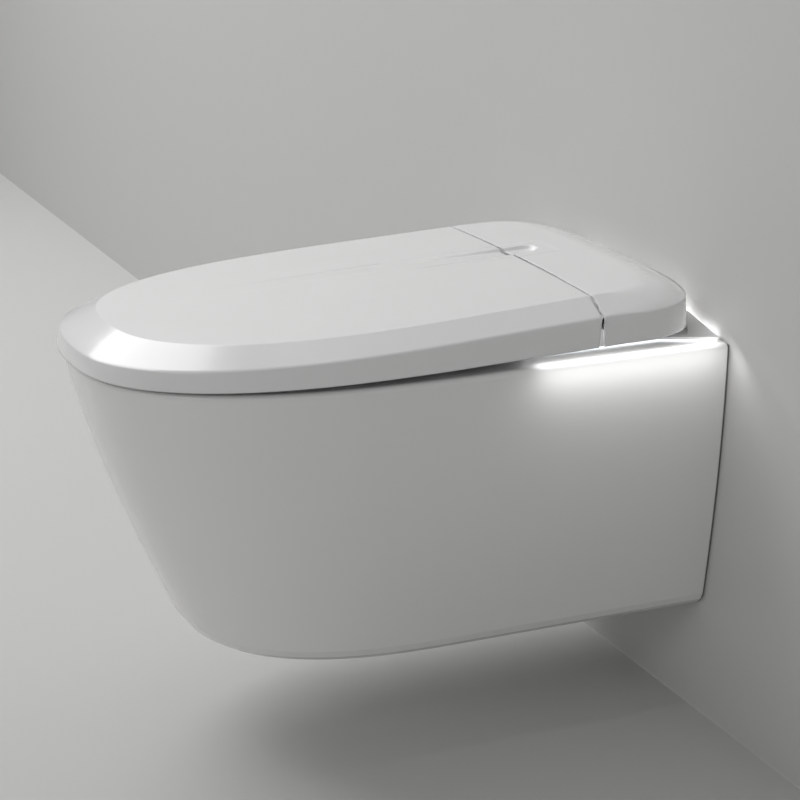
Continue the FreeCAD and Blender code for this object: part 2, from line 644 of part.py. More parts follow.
sketch_rectangle(plate_sketch, "sizes.plate_width", "sizes.plate_depth")
plate_pad = plate_body.newObject("PartDesign::Pad", "plate_pad")
plate_pad.Profile = plate_sketch
plate_pad.setExpression("Length", "sizes.plate_thickness")
plate_holes = plate_body.newObject("Sketcher::SketchObject", "plate_holes")
plate_holes.AttachmentSupport = (plate_body.Origin.OriginFeatures[3], [""])
plate_holes.MapMode = "FlatFace"
sketch_twin_circles(plate_holes, "sizes.bolt_spacing", "sizes.bolt_diameter + 2 * sizes.slide_gap")
plate_pocket = plate_body.newObject("PartDesign::Pocket", "plate_pocket")
plate_pocket.Profile = plate_holes
plate_pocket.Type = 1
plate_pocket.Midplane = True
placed(plate_body, "0", "-sizes.bolt_setback", "sizes.rim_height")
keep(plate_body, "mounting_plate")

# Mounting bolts, their rubber sleeves and nuts
# The nut draws the sleeve together under the deck.

bolt_shank = bound("Part::Cylinder", "bolt_shank", Radius="sizes.bolt_diameter / 2",
                   Height="sizes.bolt_length")
placed(bolt_shank, "sizes.bolt_spacing / 2", "-sizes.bolt_setback",
       "sizes.rim_height + sizes.plate_thickness - sizes.bolt_length")
bolt_cap = bound("Part::Cylinder", "bolt_cap", Radius="sizes.bolt_head / 2",
                 Height="sizes.bolt_head_height")
placed(bolt_cap, "sizes.bolt_spacing / 2", "-sizes.bolt_setback",
       "sizes.rim_height + sizes.plate_thickness")
bolt_drive = bound("Part::Prism", "bolt_drive", Circumradius="sizes.bolt_diameter / 3",
                   Height="sizes.bolt_head_height")
bolt_drive.Polygon = 6
placed(bolt_drive, "sizes.bolt_spacing / 2", "-sizes.bolt_setback",
       "sizes.rim_height + sizes.plate_thickness + sizes.bolt_head_height / 3")
bolt_blank = boolean("Part::Fuse", "bolt_blank", bolt_shank, bolt_cap)
pair("mounting_bolts", boolean("Part::Cut", "mounting_bolt", bolt_blank, bolt_drive))

rubber_barrel = bound("Part::Cylinder", "rubber_barrel", Radius="sizes.deck_hole / 2 - sizes.fit_gap",
                      Height="sizes.bolt_sleeve_length")
placed(rubber_barrel, "sizes.bolt_spacing / 2", "-sizes.bolt_setback",
       "sizes.rim_height - sizes.bolt_sleeve_length")
rubber_bore = bound("Part::Cylinder", "rubber_bore", Radius="sizes.bolt_diameter / 2 + sizes.fit_gap",
                    Height="2 * sizes.bolt_sleeve_length")
placed(rubber_bore, "sizes.bolt_spacing / 2", "-sizes.bolt_setback",
       "sizes.rim_height - 1.5 * sizes.bolt_sleeve_length")
pair("bolt_sleeves", boolean("Part::Cut", "bolt_sleeve", rubber_barrel, rubber_bore))

nut_hex = bound("Part::Prism", "nut_hex", Circumradius="sizes.nut_across / 2", Height="sizes.nut_height")
nut_hex.Polygon = 6
placed(nut_hex, "sizes.bolt_spacing / 2", "-sizes.bolt_setback",
       "sizes.rim_height - sizes.bolt_sleeve_length - sizes.nut_height")
nut_bore = bound("Part::Cylinder", "nut_bore", Radius="sizes.bolt_diameter / 2 + sizes.fit_gap",
                 Height="3 * sizes.nut_height")
placed(nut_bore, "sizes.bolt_spacing / 2", "-sizes.bolt_setback",
       "sizes.rim_height - sizes.bolt_sleeve_length - 2 * sizes.nut_height")
pair("bolt_nuts", boolean("Part::Cut", "bolt_nut", nut_hex, nut_bore))

# Form of lid and rear cover
# Both are cut from one form: a side that leans out to its edge, a sloping border and a crowned top.
# The edge rises towards the wall.

edge_slope = (size("edge_rear") - size("edge_front")) / size("unit_projection")
tilt = math.atan(edge_slope)
TOP_OVERRUN = 1.8


def edge_height(y):
    return above_rim(size("edge_front") + edge_slope * (y + size("unit_projection")))


def lower_height(y):
    share = (y + size("unit_projection")) / size("unit_projection")
    return above_rim(size("lid_gap_front") + (size("lid_gap_rear") - size("lid_gap_front")) * share)


def cap_wire(inset, height_at):
    front = round_end(
        size("unit_width") / 2 - inset,
        -size("unit_widest_setback"),
        inset - size("unit_projection"),
        size("front_power"),
        height_at,
    )
    rear = round_end(
        size("unit_shoulder") / 2 - inset,
        -size("unit_shoulder_setback"),
        -size("unit_rear_gap") - inset,
        size("rear_power"),
        height_at,
    )
    return closed_wire(front, rear)


def crown_height(y):
    return edge_height(y) + size("bevel_rise") + size("crown_rise")


def cap_form(inset, extend=0, rounding=0):
    """The whole form, inset all round and on top, with its lower edge drawn down by extend.
    A negative inset grows it. Rounding softens the side edge with two narrow bands."""
    slope = math.atan2(size("bevel_rise"), size("bevel_width"))
    lower = inset * (1 / math.cos(slope) - math.tan(slope))
    reach = size("bevel_width") * TOP_OVERRUN
    rise = size("bevel_rise") * TOP_OVERRUN
    wires = [cap_wire(inset - size("edge_flare"), lambda y: lower_height(y) - extend)]
    if rounding:
        half_turn = (math.pi / 2 - slope) / 2
        tangent = rounding * math.tan(half_turn)
        sink = rounding * (1 / math.cos(half_turn) - 1)
        wires.append(cap_wire(inset, lambda y: edge_height(y) - tangent))
        wires.append(cap_wire(inset + sink * math.cos(half_turn),
                              lambda y: edge_height(y) - sink * math.sin(half_turn)))
        wires.append(cap_wire(inset + tangent * math.cos(slope),
                              lambda y: edge_height(y) + tangent * math.sin(slope)))
    else:
        wires.append(cap_wire(inset, lambda y: edge_height(y) - lower))
    wires.append(cap_wire(inset + reach, lambda y: edge_height(y) - lower + rise))
    flank = Part.makeLoft(wires, True, True)
    half = size("unit_width") / 2 - size("bevel_width")
    radius = (half**2 + size("crown_rise") ** 2) / (2 * size("crown_rise"))
    axis = Vector(0, math.cos(tilt), math.sin(tilt))
    up = Vector(0, -math.sin(tilt), math.cos(tilt))
    start_y = -size("unit_projection") - OVERRUN
    base = Vector(0, start_y, crown_height(start_y) - inset) - up * radius
    crown = Part.makeCylinder(radius, size("unit_projection") + 2 * OVERRUN, base, axis)
    return flank.common(crown)


def groove_tool(radius):
    """A long round bar that dips into the top towards the rear and ends in a ball."""
    front = Vector(-size("groove_offset"), -size("groove_front"),
                   crown_height(-size("groove_front")) + size("groove_radius"))
    rear = Vector(-size("groove_offset"), -size("groove_rear"),
                  crown_height(-size("groove_rear")) + size("groove_radius") - size("groove_depth"))
    along = (rear - front).normalize()
    across = Vector(1, 0, 0)
    start = front - along * OVERRUN
    profile = Part.Wire([
        Part.makeLine(start, start + across * radius),
        Part.makeLine(start + across * radius, rear + across * radius),
        Part.Arc(rear + across * radius, rear + (across + along) * (radius * math.sqrt(0.5)),
                 rear + along * radius).toShape(),
        Part.makeLine(rear + along * radius, start),
    ])
    return Part.Face(profile).revolve(start, along, 360)


skin = size("shell_wall")
lid_bottom = lower_height(-size("split_setback"))
split_top_z = crown_height(-size("split_setback"))
split_run = size("split_lean") / (split_top_z - lid_bottom)
wedge_run = (size("split_lean") - size("split_wedge")) / (split_top_z - lid_bottom)


def split_line(y_top, run, z):
    """Place of a leaning joint face at a height."""
    return y_top - run * (split_top_z - z)


zone_low = rim - OVERRUN
zone_high = split_top_z + 2 * OVERRUN
zone_half = size("bowl_width")
lid_edge = -size("split_setback")
cover_edge = lid_edge + size("split_gap")
lid_zone = prism_x(
    [
        (-size("unit_projection") - OVERRUN, zone_low),
        (-size("unit_projection") - OVERRUN, zone_high),
        (split_line(lid_edge, split_run, zone_high), zone_high),
        (split_line(lid_edge, split_run, zone_low), zone_low),
    ],
    -zone_half,
    zone_half,
)
cover_zone = prism_x(
    [
        (OVERRUN, zone_low),
        (OVERRUN, zone_high),
        (split_line(cover_edge, wedge_run, zone_high), zone_high),
        (split_line(cover_edge, wedge_run, zone_low), zone_low),
    ],
    -zone_half,
    zone_half,
)
cap_outer = cap_form(0, rounding=size("edge_radius"))
cap_outer_grooved = cap_outer.cut(groove_tool(size("groove_radius")))
cap_inner = cap_form(skin, skin).cut(groove_tool(size("groove_radius") + skin))

# Hinge measures shared by posts, knuckles and pins

hinge_y = -size("hinge_setback")
hinge_z = above_rim(size("hinge_height"))
knuckle = size("knuckle_radius")
pin_half = size("hinge_pin") / 2
inner_post = (size("hinge_inner"), size("hinge_inner") + size("post_width"))
lid_knuckle = (inner_post[1] + size("knuckle_gap"),
               inner_post[1] + size("knuckle_gap") + size("lid_knuckle"))
seat_knuckle = (lid_knuckle[1] + size("knuckle_gap"),
                lid_knuckle[1] + size("knuckle_gap") + size("seat_knuckle"))
outer_post = (seat_knuckle[1] + size("knuckle_gap"),
              seat_knuckle[1] + size("knuckle_gap") + size("post_width"))
split_share = (size("unit_widest_setback") - size("split_setback")) / (
    size("unit_widest_setback") - size("unit_shoulder_setback"))
split_half = (size("unit_width") + (size("unit_shoulder") - size("unit_width")) * split_share) / 2
drum_half = split_half - size("bevel_width") / 2
crown_half = size("unit_width") / 2 - size("bevel_width")
crown_radius = (crown_half**2 + size("crown_rise") ** 2) / (2 * size("crown_rise"))
SWEEP_SHARES = (0, 0.5, 0.93, 1)


def split_section(x):
    """Height of the top at the joint line: the crown, or the sloping border outside it."""
    crown = split_top_z - crown_radius + math.sqrt(crown_radius**2 - x**2)
    border = edge_height(lid_edge) + (split_half - x) * size("bevel_rise") / size("bevel_width")
    return min(crown, border)


def lid_sweep(grow, half):
    """What the lid's rear edge sweeps as it turns, grown by a gap."""
    profile = []
    for share in SWEEP_SHARES:
        rise = max(split_section(share * half) - hinge_z, 0)
        profile.append(Vector(share * half, hinge_y,
                              hinge_z + math.hypot(lid_edge - hinge_y, rise) + grow))
    profile += [Vector(half, hinge_y, hinge_z), Vector(-half, hinge_y, hinge_z)]
    for share, point in list(zip(SWEEP_SHARES, profile))[:0:-1]:
        profile.append(Vector(-share * half, hinge_y, point.z))
    return Part.Face(Part.makePolygon(profile + profile[:1])).revolve(profile[len(SWEEP_SHARES)],
                                                                      Vector(1, 0, 0), 360)


running_bore = rod_x(pin_half + size("hinge_fit"), 0, outer_post[1] + OVERRUN, hinge_y, hinge_z)
seated_bore = rod_x(pin_half + size("fit_gap"), 0, outer_post[1] + OVERRUN, hinge_y, hinge_z)

# Chassis
# Floor of the electric unit, with hinge posts, side walls, board pillars and the raised corners at the wall.

floor_low = above_rim(size("plate_thickness"))
floor_top = floor_low + size("floor_thickness")
chassis_rear = -size("chassis_rear_gap")


def chassis_corners(inset):
    """Right-hand corners of the floor from front to wall, inset all round."""
    side = size("chassis_width") / 2
    waist_y = -size("chassis_waist_setback")
    flare = size("bowl_width") / 2 - size("chassis_flare")
    run = Vector(flare - side, chassis_rear - waist_y, 0).normalize()
    inward = Vector(-run.y, run.x, 0)
    to_side = (-inset - inset * inward.x) / run.x
    to_rear = (chassis_rear - inset - waist_y - inset * inward.y) / run.y
    waist = (side - inset, waist_y + inset * inward.y + to_side * run.y)
    rear = (side + inset * inward.x + to_rear * run.x, chassis_rear - inset)
    return waist, rear


def chassis_plan(inset, front_y):
    waist, rear = chassis_corners(inset)
    right = [(waist[0], front_y), waist, rear]
    return right + [(-x, y) for x, y in reversed(right)]


chassis = prism_z(chassis_plan(0, -size("chassis_front")), floor_low, floor_top)
waist, corner = chassis_corners(0)
wedge_points = [
    Vector(corner[0], corner[1], floor_top),
    Vector(waist[0], waist[1], floor_top),
    Vector(size("corner_inner"), corner[1], floor_top),
    Vector(size("corner_inner"), corner[1], floor_top + size("corner_rise")),
]
wedge_faces = []
for triangle in ((0, 1, 2), (0, 1, 3), (1, 2, 3), (0, 2, 3)):
    loop = [wedge_points[index] for index in triangle]
    wedge_faces.append(Part.Face(Part.makePolygon(loop + loop[:1])))
wedge = Part.Solid(Part.Shell(wedge_faces))
wedge = wedge.cut(cap_form(-size("corner_gap"), size("lid_gap_rear")))
chassis = chassis.fuse(both_sides(wedge))
side_wall = box(size("chassis_width") / 2 - size("chassis_wall"), size("chassis_width") / 2,
                -size("chassis_front"), -size("chassis_waist_setback"),
                floor_low, floor_top + size("chassis_wall_height"))
chassis = chassis.fuse(both_sides(side_wall))
for post in (inner_post, outer_post):
    stem_half = knuckle - pin_half / 2
    stem = box(post[0], post[1], hinge_y - stem_half, hinge_y + stem_half, floor_low, hinge_z)
    post_solid = stem.fuse(rod_x(knuckle, post[0], post[1], hinge_y, hinge_z))
    chassis = chassis.fuse(both_sides(post_solid))
board_z = above_rim(size("board_level"))
pillar_inset = 2 * size("pillar_radius")
pillar_x = size("board_width") / 2 - pillar_inset
pillar_spread = size("board_depth") / 2 - pillar_inset
for pillar_y in (-size("board_setback") - pillar_spread, -size("board_setback") + pillar_spread):
    chassis = chassis.fuse(both_sides(rod_z(size("pillar_radius"), floor_low, board_z, pillar_x,
                                            pillar_y)))
chassis = chassis.cut(both_sides(seated_bore))
head_hole = rod_z(size("bolt_head") / 2 + size("head_gap"), rim, floor_top + size("bolt_head_height") / 2,
                  size("bolt_spacing") / 2, -size("bolt_setback"))
chassis = chassis.cut(both_sides(head_hole))
chassis = chassis.cut(rod_z(size("supply_diameter") / 2 + size("slide_gap"), rim,
                            above_rim(size("board_level")),
                            -size("valve_place"), -size("valve_setback")))
guide_half = size("arm_width") / 2 + size("slide_gap") + size("guide_wall")
foot_back = size("guide_back") + size("guide_length") * (1 - FOOT_SHARE)
slot_rear = -size("basin_rear") + foot_back - size("slide_gap")
chassis = chassis.cut(box(-guide_half - size("port_gap"), guide_half + size("port_gap"),
                          -size("chassis_front") - 1,
                          slot_rear, rim, floor_top + size("bumper_rest")))
shaped("chassis", chassis.Solids[0])

# Night light
# A strip of LEDs under the chassis edge, behind a diffuser that shines on the ceramic deck.

light_outer = size("light_inset")
light_inner = light_outer + size("light_width")


def light_strip(z_low, z_high):
    strip = prism_z(chassis_plan(light_outer, -size("light_start")), z_low, z_high)
    core = prism_z(chassis_plan(light_inner, -size("light_start") - OVERRUN), z_low - 1, z_high + 1)
    return strip.cut(core).Solids[0]


board_low = floor_low - size("board_thickness")
shaped("night_light_board", light_strip(board_low, floor_low))
shaped("night_light_lens", light_strip(board_low - size("lens_thickness"), board_low))

# Rear cover
# Shell over pump, heater and electronics. Its front is hollow so that the lid's rear edge can turn in it.

drum_hollow = lid_sweep(size("drum_gap"), drum_half)
drum_wall = lid_sweep(size("drum_gap") + skin, drum_half + skin)
cover = cap_outer_grooved.common(cover_zone)
cover = cover.cut(cap_inner.cut(drum_wall)).cut(drum_hollow)
front_boss = (0.755 * size("unit_shoulder") / 2, -1.19 * size("works_setback"))
rear_boss = (0.57 * size("unit_shoulder") / 2, -0.34 * size("works_setback"))
for boss_place in (front_boss, rear_boss):
    boss = rod_z(size("pillar_radius") + 1, floor_top, zone_high, *boss_place)
    cover = cover.fuse(both_sides(boss.common(cap_outer)))
arm_place = Placement(Vector(0, -size("basin_rear"), above_rim(size("arm_passes_at"))),
                      Rotation(Vector(1, 0, 0), size("arm_tilt")))


def tilted(shape):
    """Brings a piece drawn level along +Y from the rear of the basin onto the arm's slope."""
    shape.Placement = arm_place.multiply(shape.Placement)
    return shape


arm_window = box(-guide_half - size("port_gap"), guide_half + size("port_gap"), 0,
                 size("tip_back") + size("arm_length"), -OVERRUN,
                 size("arm_height") / 2 + size("slide_gap") + size("guide_wall") + size("port_gap"))
cover = cover.cut(tilted(arm_window))
shaped("rear_cover", cover.Solids[0])

# Lid
# Shell with two hinge knuckles and four bosses for its bumpers.

seat_low = above_rim(size("seat_bottom"))
seat_top = seat_low + size("seat_thickness")
lid_bumper_low = seat_top + size("bumper_rest")
lid_bumper_top = lid_bumper_low + size("lid_bumper_height")
bumper_places = (
    (size("unit_width") / 2 - size("front_bumper_inset"), -size("front_bumper_setback")),
    (size("unit_width") / 2 - size("rear_bumper_inset"), -size("rear_bumper_setback")),
)
lid = cap_outer_grooved.common(lid_zone).cut(cap_inner)
web = box(lid_knuckle[0], lid_knuckle[1], hinge_y - knuckle, hinge_y + knuckle, hinge_z, zone_high)
web = web.common(cap_outer).cut(groove_tool(size("groove_radius")))
lid_hinge = web.fuse(rod_x(knuckle, lid_knuckle[0], lid_knuckle[1], hinge_y, hinge_z)).cut(running_bore)
lid = lid.fuse(both_sides(lid_hinge))
for bumper_x, bumper_y in bumper_places:
    boss = rod_z(size("bumper_radius") + 1, lid_bumper_top, zone_high, bumper_x,
                 bumper_y).common(cap_outer)
    lid = lid.fuse(both_sides(boss))
shaped("lid", lid.Solids[0])


def bumper_pads(label, z_low, height, radius):
    """Four bound rubber discs under the places where lid or seat comes to rest."""
    discs = []
    for place in ("front", "rear"):
        for side, sign in (("right", ""), ("left", "-")):
            disc = bound("Part::Cylinder", f"{label}_{place}_{side}", Radius=radius, Height=height)
            placed(disc, f"{sign}(sizes.unit_width / 2 - sizes.{place}_bumper_inset)",
                   f"-sizes.{place}_bumper_setback", z_low)
            discs.append(disc)
    group = doc.addObject("Part::Compound", label)
    group.Links = discs
    return keep(group, label)


bumper_pads("lid_bumpers",
            "sizes.rim_height + sizes.seat_bottom + sizes.seat_thickness + sizes.bumper_rest",
            "sizes.lid_bumper_height", "sizes.bumper_radius")

# Seat
# Closed ring with a channel underneath for the spray arm and two arms up to the hinge.

hole_middle = -(size("seat_hole_front") + size("seat_hole_rear")) / 2
hole_half = size("seat_hole_width") / 2


def seat_hole_wire(grow, z):
    return Part.Wire([
        round_end(hole_half + grow, hole_middle, -size("seat_hole_front") - grow, size("front_power"),
                  lambda y: z, True),
        round_end(hole_half + grow, hole_middle, -size("seat_hole_rear") + grow, size("front_power"),
                  lambda y: z, True),
    ])


outer_bands = [cap_wire(size("seat_inset"), lambda y: seat_low)]
hole_bands = [seat_hole_wire(0, seat_low)]
for step in range(ROUND_STEPS + 1):
    turn = math.pi / 2 * step / ROUND_STEPS
    narrow = size("seat_radius") * (1 - math.cos(turn))
    z = seat_top - size("seat_radius") * (1 - math.sin(turn))
    outer_bands.append(cap_wire(size("seat_inset") + narrow, lambda y, z=z: z))
    hole_bands.append(seat_hole_wire(narrow, z))
seat = Part.makeLoft(outer_bands, True, True)
seat = seat.common(box(-zone_half, zone_half, -size("unit_projection"), -size("seat_rear"), zone_low,
                       zone_high))
seat = seat.cut(Part.makeLoft(hole_bands, True, True))
arm_front = -size("seat_rear") - size("seat_thickness")
seat_arm = prism_x(
    [
        (arm_front, seat_low + size("seat_radius")),
        (arm_front, seat_top - size("seat_radius")),
        (hinge_y - knuckle, hinge_z + knuckle / 2),
        (hinge_y, hinge_z),
        (hinge_y - knuckle / 2, hinge_z - knuckle),
        (-size("seat_rear"), seat_low + size("seat_radius")),
    ],
    seat_knuckle[0],
    seat_knuckle[1],
)
seat_arm = seat_arm.fuse(rod_x(knuckle, seat_knuckle[0], seat_knuckle[1], hinge_y,
                               hinge_z)).cut(running_bore)
seat = seat.fuse(both_sides(seat_arm))
channel_half = size("arm_width") * 1.5
seat = seat.cut(box(-channel_half, channel_half, -size("seat_hole_rear") - OVERRUN / 2,
                    -size("seat_rear") + 1,
                    zone_low, seat_low + size("seat_thickness") * 0.62))
shaped("seat", seat.Solids[0])
bumper_pads("seat_bumpers", "sizes.rim_height", "sizes.seat_bottom", "sizes.bumper_radius")

# Hinge pins and soft-close dampers
# Steel pins are held in the posts. The damper cartridges plug into the inner posts.

ALONG_X = Rotation(Vector(0, 1, 0), 90)
knuckle_run = "3 * sizes.knuckle_gap + sizes.lid_knuckle + sizes.seat_knuckle"
post_far = f"(sizes.hinge_inner + 2 * sizes.post_width + {knuckle_run})"
hinge_pin = bound("Part::Cylinder", "hinge_pin", Radius="sizes.hinge_pin / 2",
                  Height=f"{post_far} - sizes.hinge_inner - sizes.post_width / 2")
placed(hinge_pin, "sizes.hinge_inner + sizes.post_width / 2", "-sizes.hinge_setback",
       "sizes.rim_height + sizes.hinge_height", ALONG_X)
pair("hinge_pins", hinge_pin)
damper_tube = bound("Part::Cylinder", "damper_tube", Radius="sizes.knuckle_radius",
                    Height="sizes.damper_length")
placed(damper_tube, "sizes.hinge_inner - sizes.damper_length", "-sizes.hinge_setback",
       "sizes.rim_height + sizes.hinge_height", ALONG_X)
damper_stub = bound("Part::Cylinder", "damper_stub", Radius="sizes.hinge_pin / 2",
                    Height="sizes.damper_length / 2 + sizes.post_width / 2 - sizes.knuckle_gap")
placed(damper_stub, "sizes.hinge_inner - sizes.damper_length / 2", "-sizes.hinge_setback",
       "sizes.rim_height + sizes.hinge_height", ALONG_X)
pair("soft_close_dampers", boolean("Part::Fuse", "damper", damper_tube, damper_stub))

# Spray arm
# Straight arm on a slope, with a water channel and a rack along its right side.
# Drawn level along +Y from the rear of the basin, then tilted into place.

arm_half = size("arm_width") / 2
arm_tall = size("arm_height") / 2
module = size("gear_module")
pitch = math.pi * module
pinion_pitch = module * size("pinion_teeth") / 2
rack_line = arm_half - module
tooth_up = 0.7 * module
tooth_down = module
PRESSURE = math.radians(20)
pinion_y = size("pinion_back")
pinion_x = rack_line + pinion_pitch
arm_start = size("tip_back")
arm_end = arm_start + size("arm_length")
rack_start = pinion_y - 2.5 * pitch
tooth_half = (pitch / 2 - size("tooth_play") / 2) / 2

arm = box(-arm_half, arm_half, arm_start, arm_end, -arm_tall, arm_tall)
arm = arm.cut(box(rack_line - tooth_down, arm_half + 1, rack_start, arm_end + 1, -OVERRUN, OVERRUN))
tooth = [
    (rack_line - tooth_down, -tooth_half - tooth_down * math.tan(PRESSURE)),
    (rack_line + tooth_up, -tooth_half + tooth_up * math.tan(PRESSURE)),
    (rack_line + tooth_up, tooth_half - tooth_up * math.tan(PRESSURE)),
    (rack_line - tooth_down, tooth_half + tooth_down * math.tan(PRESSURE)),
]
rack_outline = [(-arm_half / 2, rack_start + pitch / 2)]
tooth_count = int((arm_end - rack_start) / pitch - 0.5)
for index in range(tooth_count):
    centre = rack_start + (index + 1) * pitch
    rack_outline += [(x, y + centre) for x, y in tooth]
rack_outline.append((-arm_half / 2, rack_start + (tooth_count + 0.5) * pitch))
rack_outline.insert(1, (rack_line - tooth_down, rack_start + pitch / 2))
rack_outline.insert(-1, (rack_line - tooth_down, rack_start + (tooth_count + 0.5) * pitch))
arm = arm.fuse(prism_z(rack_outline, -arm_tall, arm_tall))
arm = arm.cut(rod_y(size("arm_bore") / 2, arm_start - 1, arm_end + 1, -module, 0))
shaped("spray_arm", tilted(arm.Solids[0]))

# Nozzle tip
# Rounded head of the spray arm with a plug for its channel and three spray holes.

tip = box(-arm_half, arm_half, arm_start - size("tip_length"), arm_start, -arm_tall, arm_tall)
tip = tip.makeFillet(arm_tall / 3, edges_where(tip, lambda e: e.BoundBox.YMax < arm_start - 1))
tip = tip.fuse(rod_y(size("arm_bore") / 2 - size("fit_gap"), arm_start - 1, arm_start + size("arm_bore"),
                     -module, 0))
tip = tip.cut(rod_y(size("arm_bore") / 4, arm_start - size("tip_length") * 0.75, arm_start + OVERRUN,
                    -module, 0))
for share in (0.3, 0.45, 0.6):
    tip = tip.cut(rod_z(size("arm_bore") / 6, 0, OVERRUN, -module,
                        arm_start - size("tip_length") * share))
shaped("nozzle_tip", tilted(tip.Solids[0]))

# Spray guide
# Square tube that carries the arm, with a window for the pinion, a motor seat and a foot on the floor.

guide_tall = arm_tall + size("slide_gap") + size("guide_wall")
guide_start = size("guide_back")
guide_end = guide_start + size("guide_length")
motor_half = size("motor_diameter") / 2
guide = box(-guide_half, guide_half, guide_start, guide_end, -guide_tall, guide_tall)
guide = guide.fuse(box(0, pinion_x + motor_half, pinion_y - motor_half, pinion_y + motor_half,
                       guide_tall - size("guide_wall"), guide_tall))
foot_start = guide_end - size("guide_length") * FOOT_SHARE
guide_foot = box(-guide_half, guide_half, foot_start, guide_end - size("guide_wall"),
                 -guide_tall - OVERRUN, -guide_tall + 1)
guide = tilted(guide)
guide_foot = tilted(guide_foot)
guide_foot = guide_foot.cut(box(-zone_half, zone_half, -2 * size("unit_projection"),
                                size("unit_projection"),
                    rim - 2 * OVERRUN, floor_top))
passage_half = arm_half + size("slide_gap")
passage = box(-passage_half, passage_half, -OVERRUN, guide_end + OVERRUN, -arm_tall - size("slide_gap"),
              arm_tall + size("slide_gap"))
window_half = pinion_pitch + 1.5 * module
window_tall = size("pinion_height") / 2 + size("slide_gap")
window = box(arm_half, guide_half + OVERRUN, pinion_y - window_half, pinion_y + window_half, -window_tall,
             window_tall)
shaft_hole = rod_z(size("pinion_shaft") / 2 + size("slide_gap"), 0, OVERRUN, pinion_x, pinion_y)
guide = guide.fuse(guide_foot).cut(tilted(passage)).cut(tilted(window)).cut(tilted(shaft_hole))
shaped("spray_guide", guide.Solids[0])

# Drive pinion
# Involute pinion on the motor's shaft. It meshes with the arm's rack.

base_radius = pinion_pitch * math.cos(PRESSURE)
tip_radius = pinion_pitch + tooth_up
root_radius = pinion_pitch - tooth_down
tooth_angle = tooth_half / pinion_pitch
flat_angle = math.tan(PRESSURE) - PRESSURE
FLANK_STEPS = 4
flank = [(root_radius, tooth_angle + flat_angle)]
for step in range(FLANK_STEPS + 1):
    radius = base_radius + (tip_radius - base_radius) * step / FLANK_STEPS
    lean = math.acos(base_radius / radius)
    flank.append((radius, tooth_angle + flat_angle - (math.tan(lean) - lean)))
outline = []
for index in range(int(size("pinion_teeth"))):
    middle = math.pi + 2 * math.pi * index / size("pinion_teeth")
    for radius, turn in flank:
        outline.append((pinion_x + radius * math.cos(middle - turn),
                        pinion_y + radius * math.sin(middle - turn)))
    for radius, turn in reversed(flank):
        outline.append((pinion_x + radius * math.cos(middle + turn),
                        pinion_y + radius * math.sin(middle + turn)))
pinion_tall = size("pinion_height") / 2
pinion = prism_z(outline, -pinion_tall, pinion_tall)
shaft_top = guide_tall + size("motor_height") * 0.5
pinion = pinion.fuse(rod_z(size("pinion_shaft") / 2, -pinion_tall, shaft_top, pinion_x, pinion_y))
shaped("drive_pinion", tilted(pinion.Solids[0]))

# Arm motor
# Geared motor on the guide's seat; its hollow end takes the pinion's shaft.

motor = rod_z(motor_half, guide_tall, guide_tall + size("motor_height"), pinion_x, pinion_y)
motor = motor.cut(rod_z(size("pinion_shaft") / 2 + size("hinge_fit"), 0, shaft_top + size("slide_gap"),
                        pinion_x, pinion_y))
shaped("arm_motor", tilted(motor.Solids[0]))

# Front fascia
# Cover between seat and hinge with the arm's port.

fascia_half = size("fascia_width") / 2
fascia_front = -size("chassis_front")
fascia_top = above_rim(size("fascia_height"))
fascia = box(-fascia_half, fascia_half, fascia_front, -size("fascia_rear"), floor_top, fascia_top)
fascia_round = edges_where(fascia,
                           lambda e: e.BoundBox.YMax < fascia_front + 1 and e.BoundBox.ZMax > floor_top + 1)
fascia = fascia.makeFillet(size("fascia_radius"), fascia_round)
fascia_inside = fascia_half - size("fascia_wall")
fascia = fascia.cut(box(-fascia_inside, fascia_inside, fascia_front + size("fascia_wall"), OVERRUN,
                        zone_low, fascia_top - size("fascia_wall")))
port = box(-arm_half - size("port_gap"), arm_half + size("port_gap"), -OVERRUN,
           guide_start + size("guide_wall"),
           -OVERRUN, arm_tall + size("port_gap"))
fascia = fascia.cut(tilted(port))
shaped("front_fascia", fascia.Solids[0])

# Flow heater
# Flat tank with two pipe stubs.

heater_x = -size("heater_place")
works_y = -size("works_setback")
heater = box(heater_x - size("heater_length") / 2, heater_x + size("heater_length") / 2,
             works_y - size("heater_depth") / 2, works_y + size("heater_depth") / 2,
             floor_top, floor_top + size("heater_height"))
heater = heater.makeFillet(size("heater_height") / 9,
                           edges_where(heater, lambda e: e.BoundBox.ZMin > floor_top + 1))
for share in (-0.25, 0.25):
    stub = rod_y(size("pillar_radius"), works_y, works_y + size("heater_depth") * 0.68,
                 heater_x + size("heater_length") * share, floor_top + size("heater_height") * 0.6)
    heater = heater.fuse(stub)
shaped("flow_heater", heater.Solids[0])

# Water pump
# Round pump on a saddle with a stub at its end.

pump_x = size("pump_place")
pump_half = size("pump_diameter") / 2
pump_z = floor_top + pump_half + size("chassis_wall")
pump = rod_x(pump_half, pump_x, pump_x + size("pump_length"), works_y, pump_z)
pump = pump.fuse(rod_x(pump_half * 0.8, pump_x, pump_x + size("pump_length") * 1.12, works_y, pump_z))
pump = pump.fuse(box(pump_x + size("pump_length") * 0.2, pump_x + size("pump_length") * 0.8,
                     works_y - pump_half * 0.8, works_y + pump_half * 0.8, floor_top, pump_z))
pump = pump.fuse(rod_y(size("pillar_radius"), works_y, works_y + pump_half * 1.6,
                       pump_x + size("pump_length") * 0.9, pump_z))
shaped("water_pump", pump.Solids[0])

# Inlet valve
# Solenoid valve over the supply fitting.

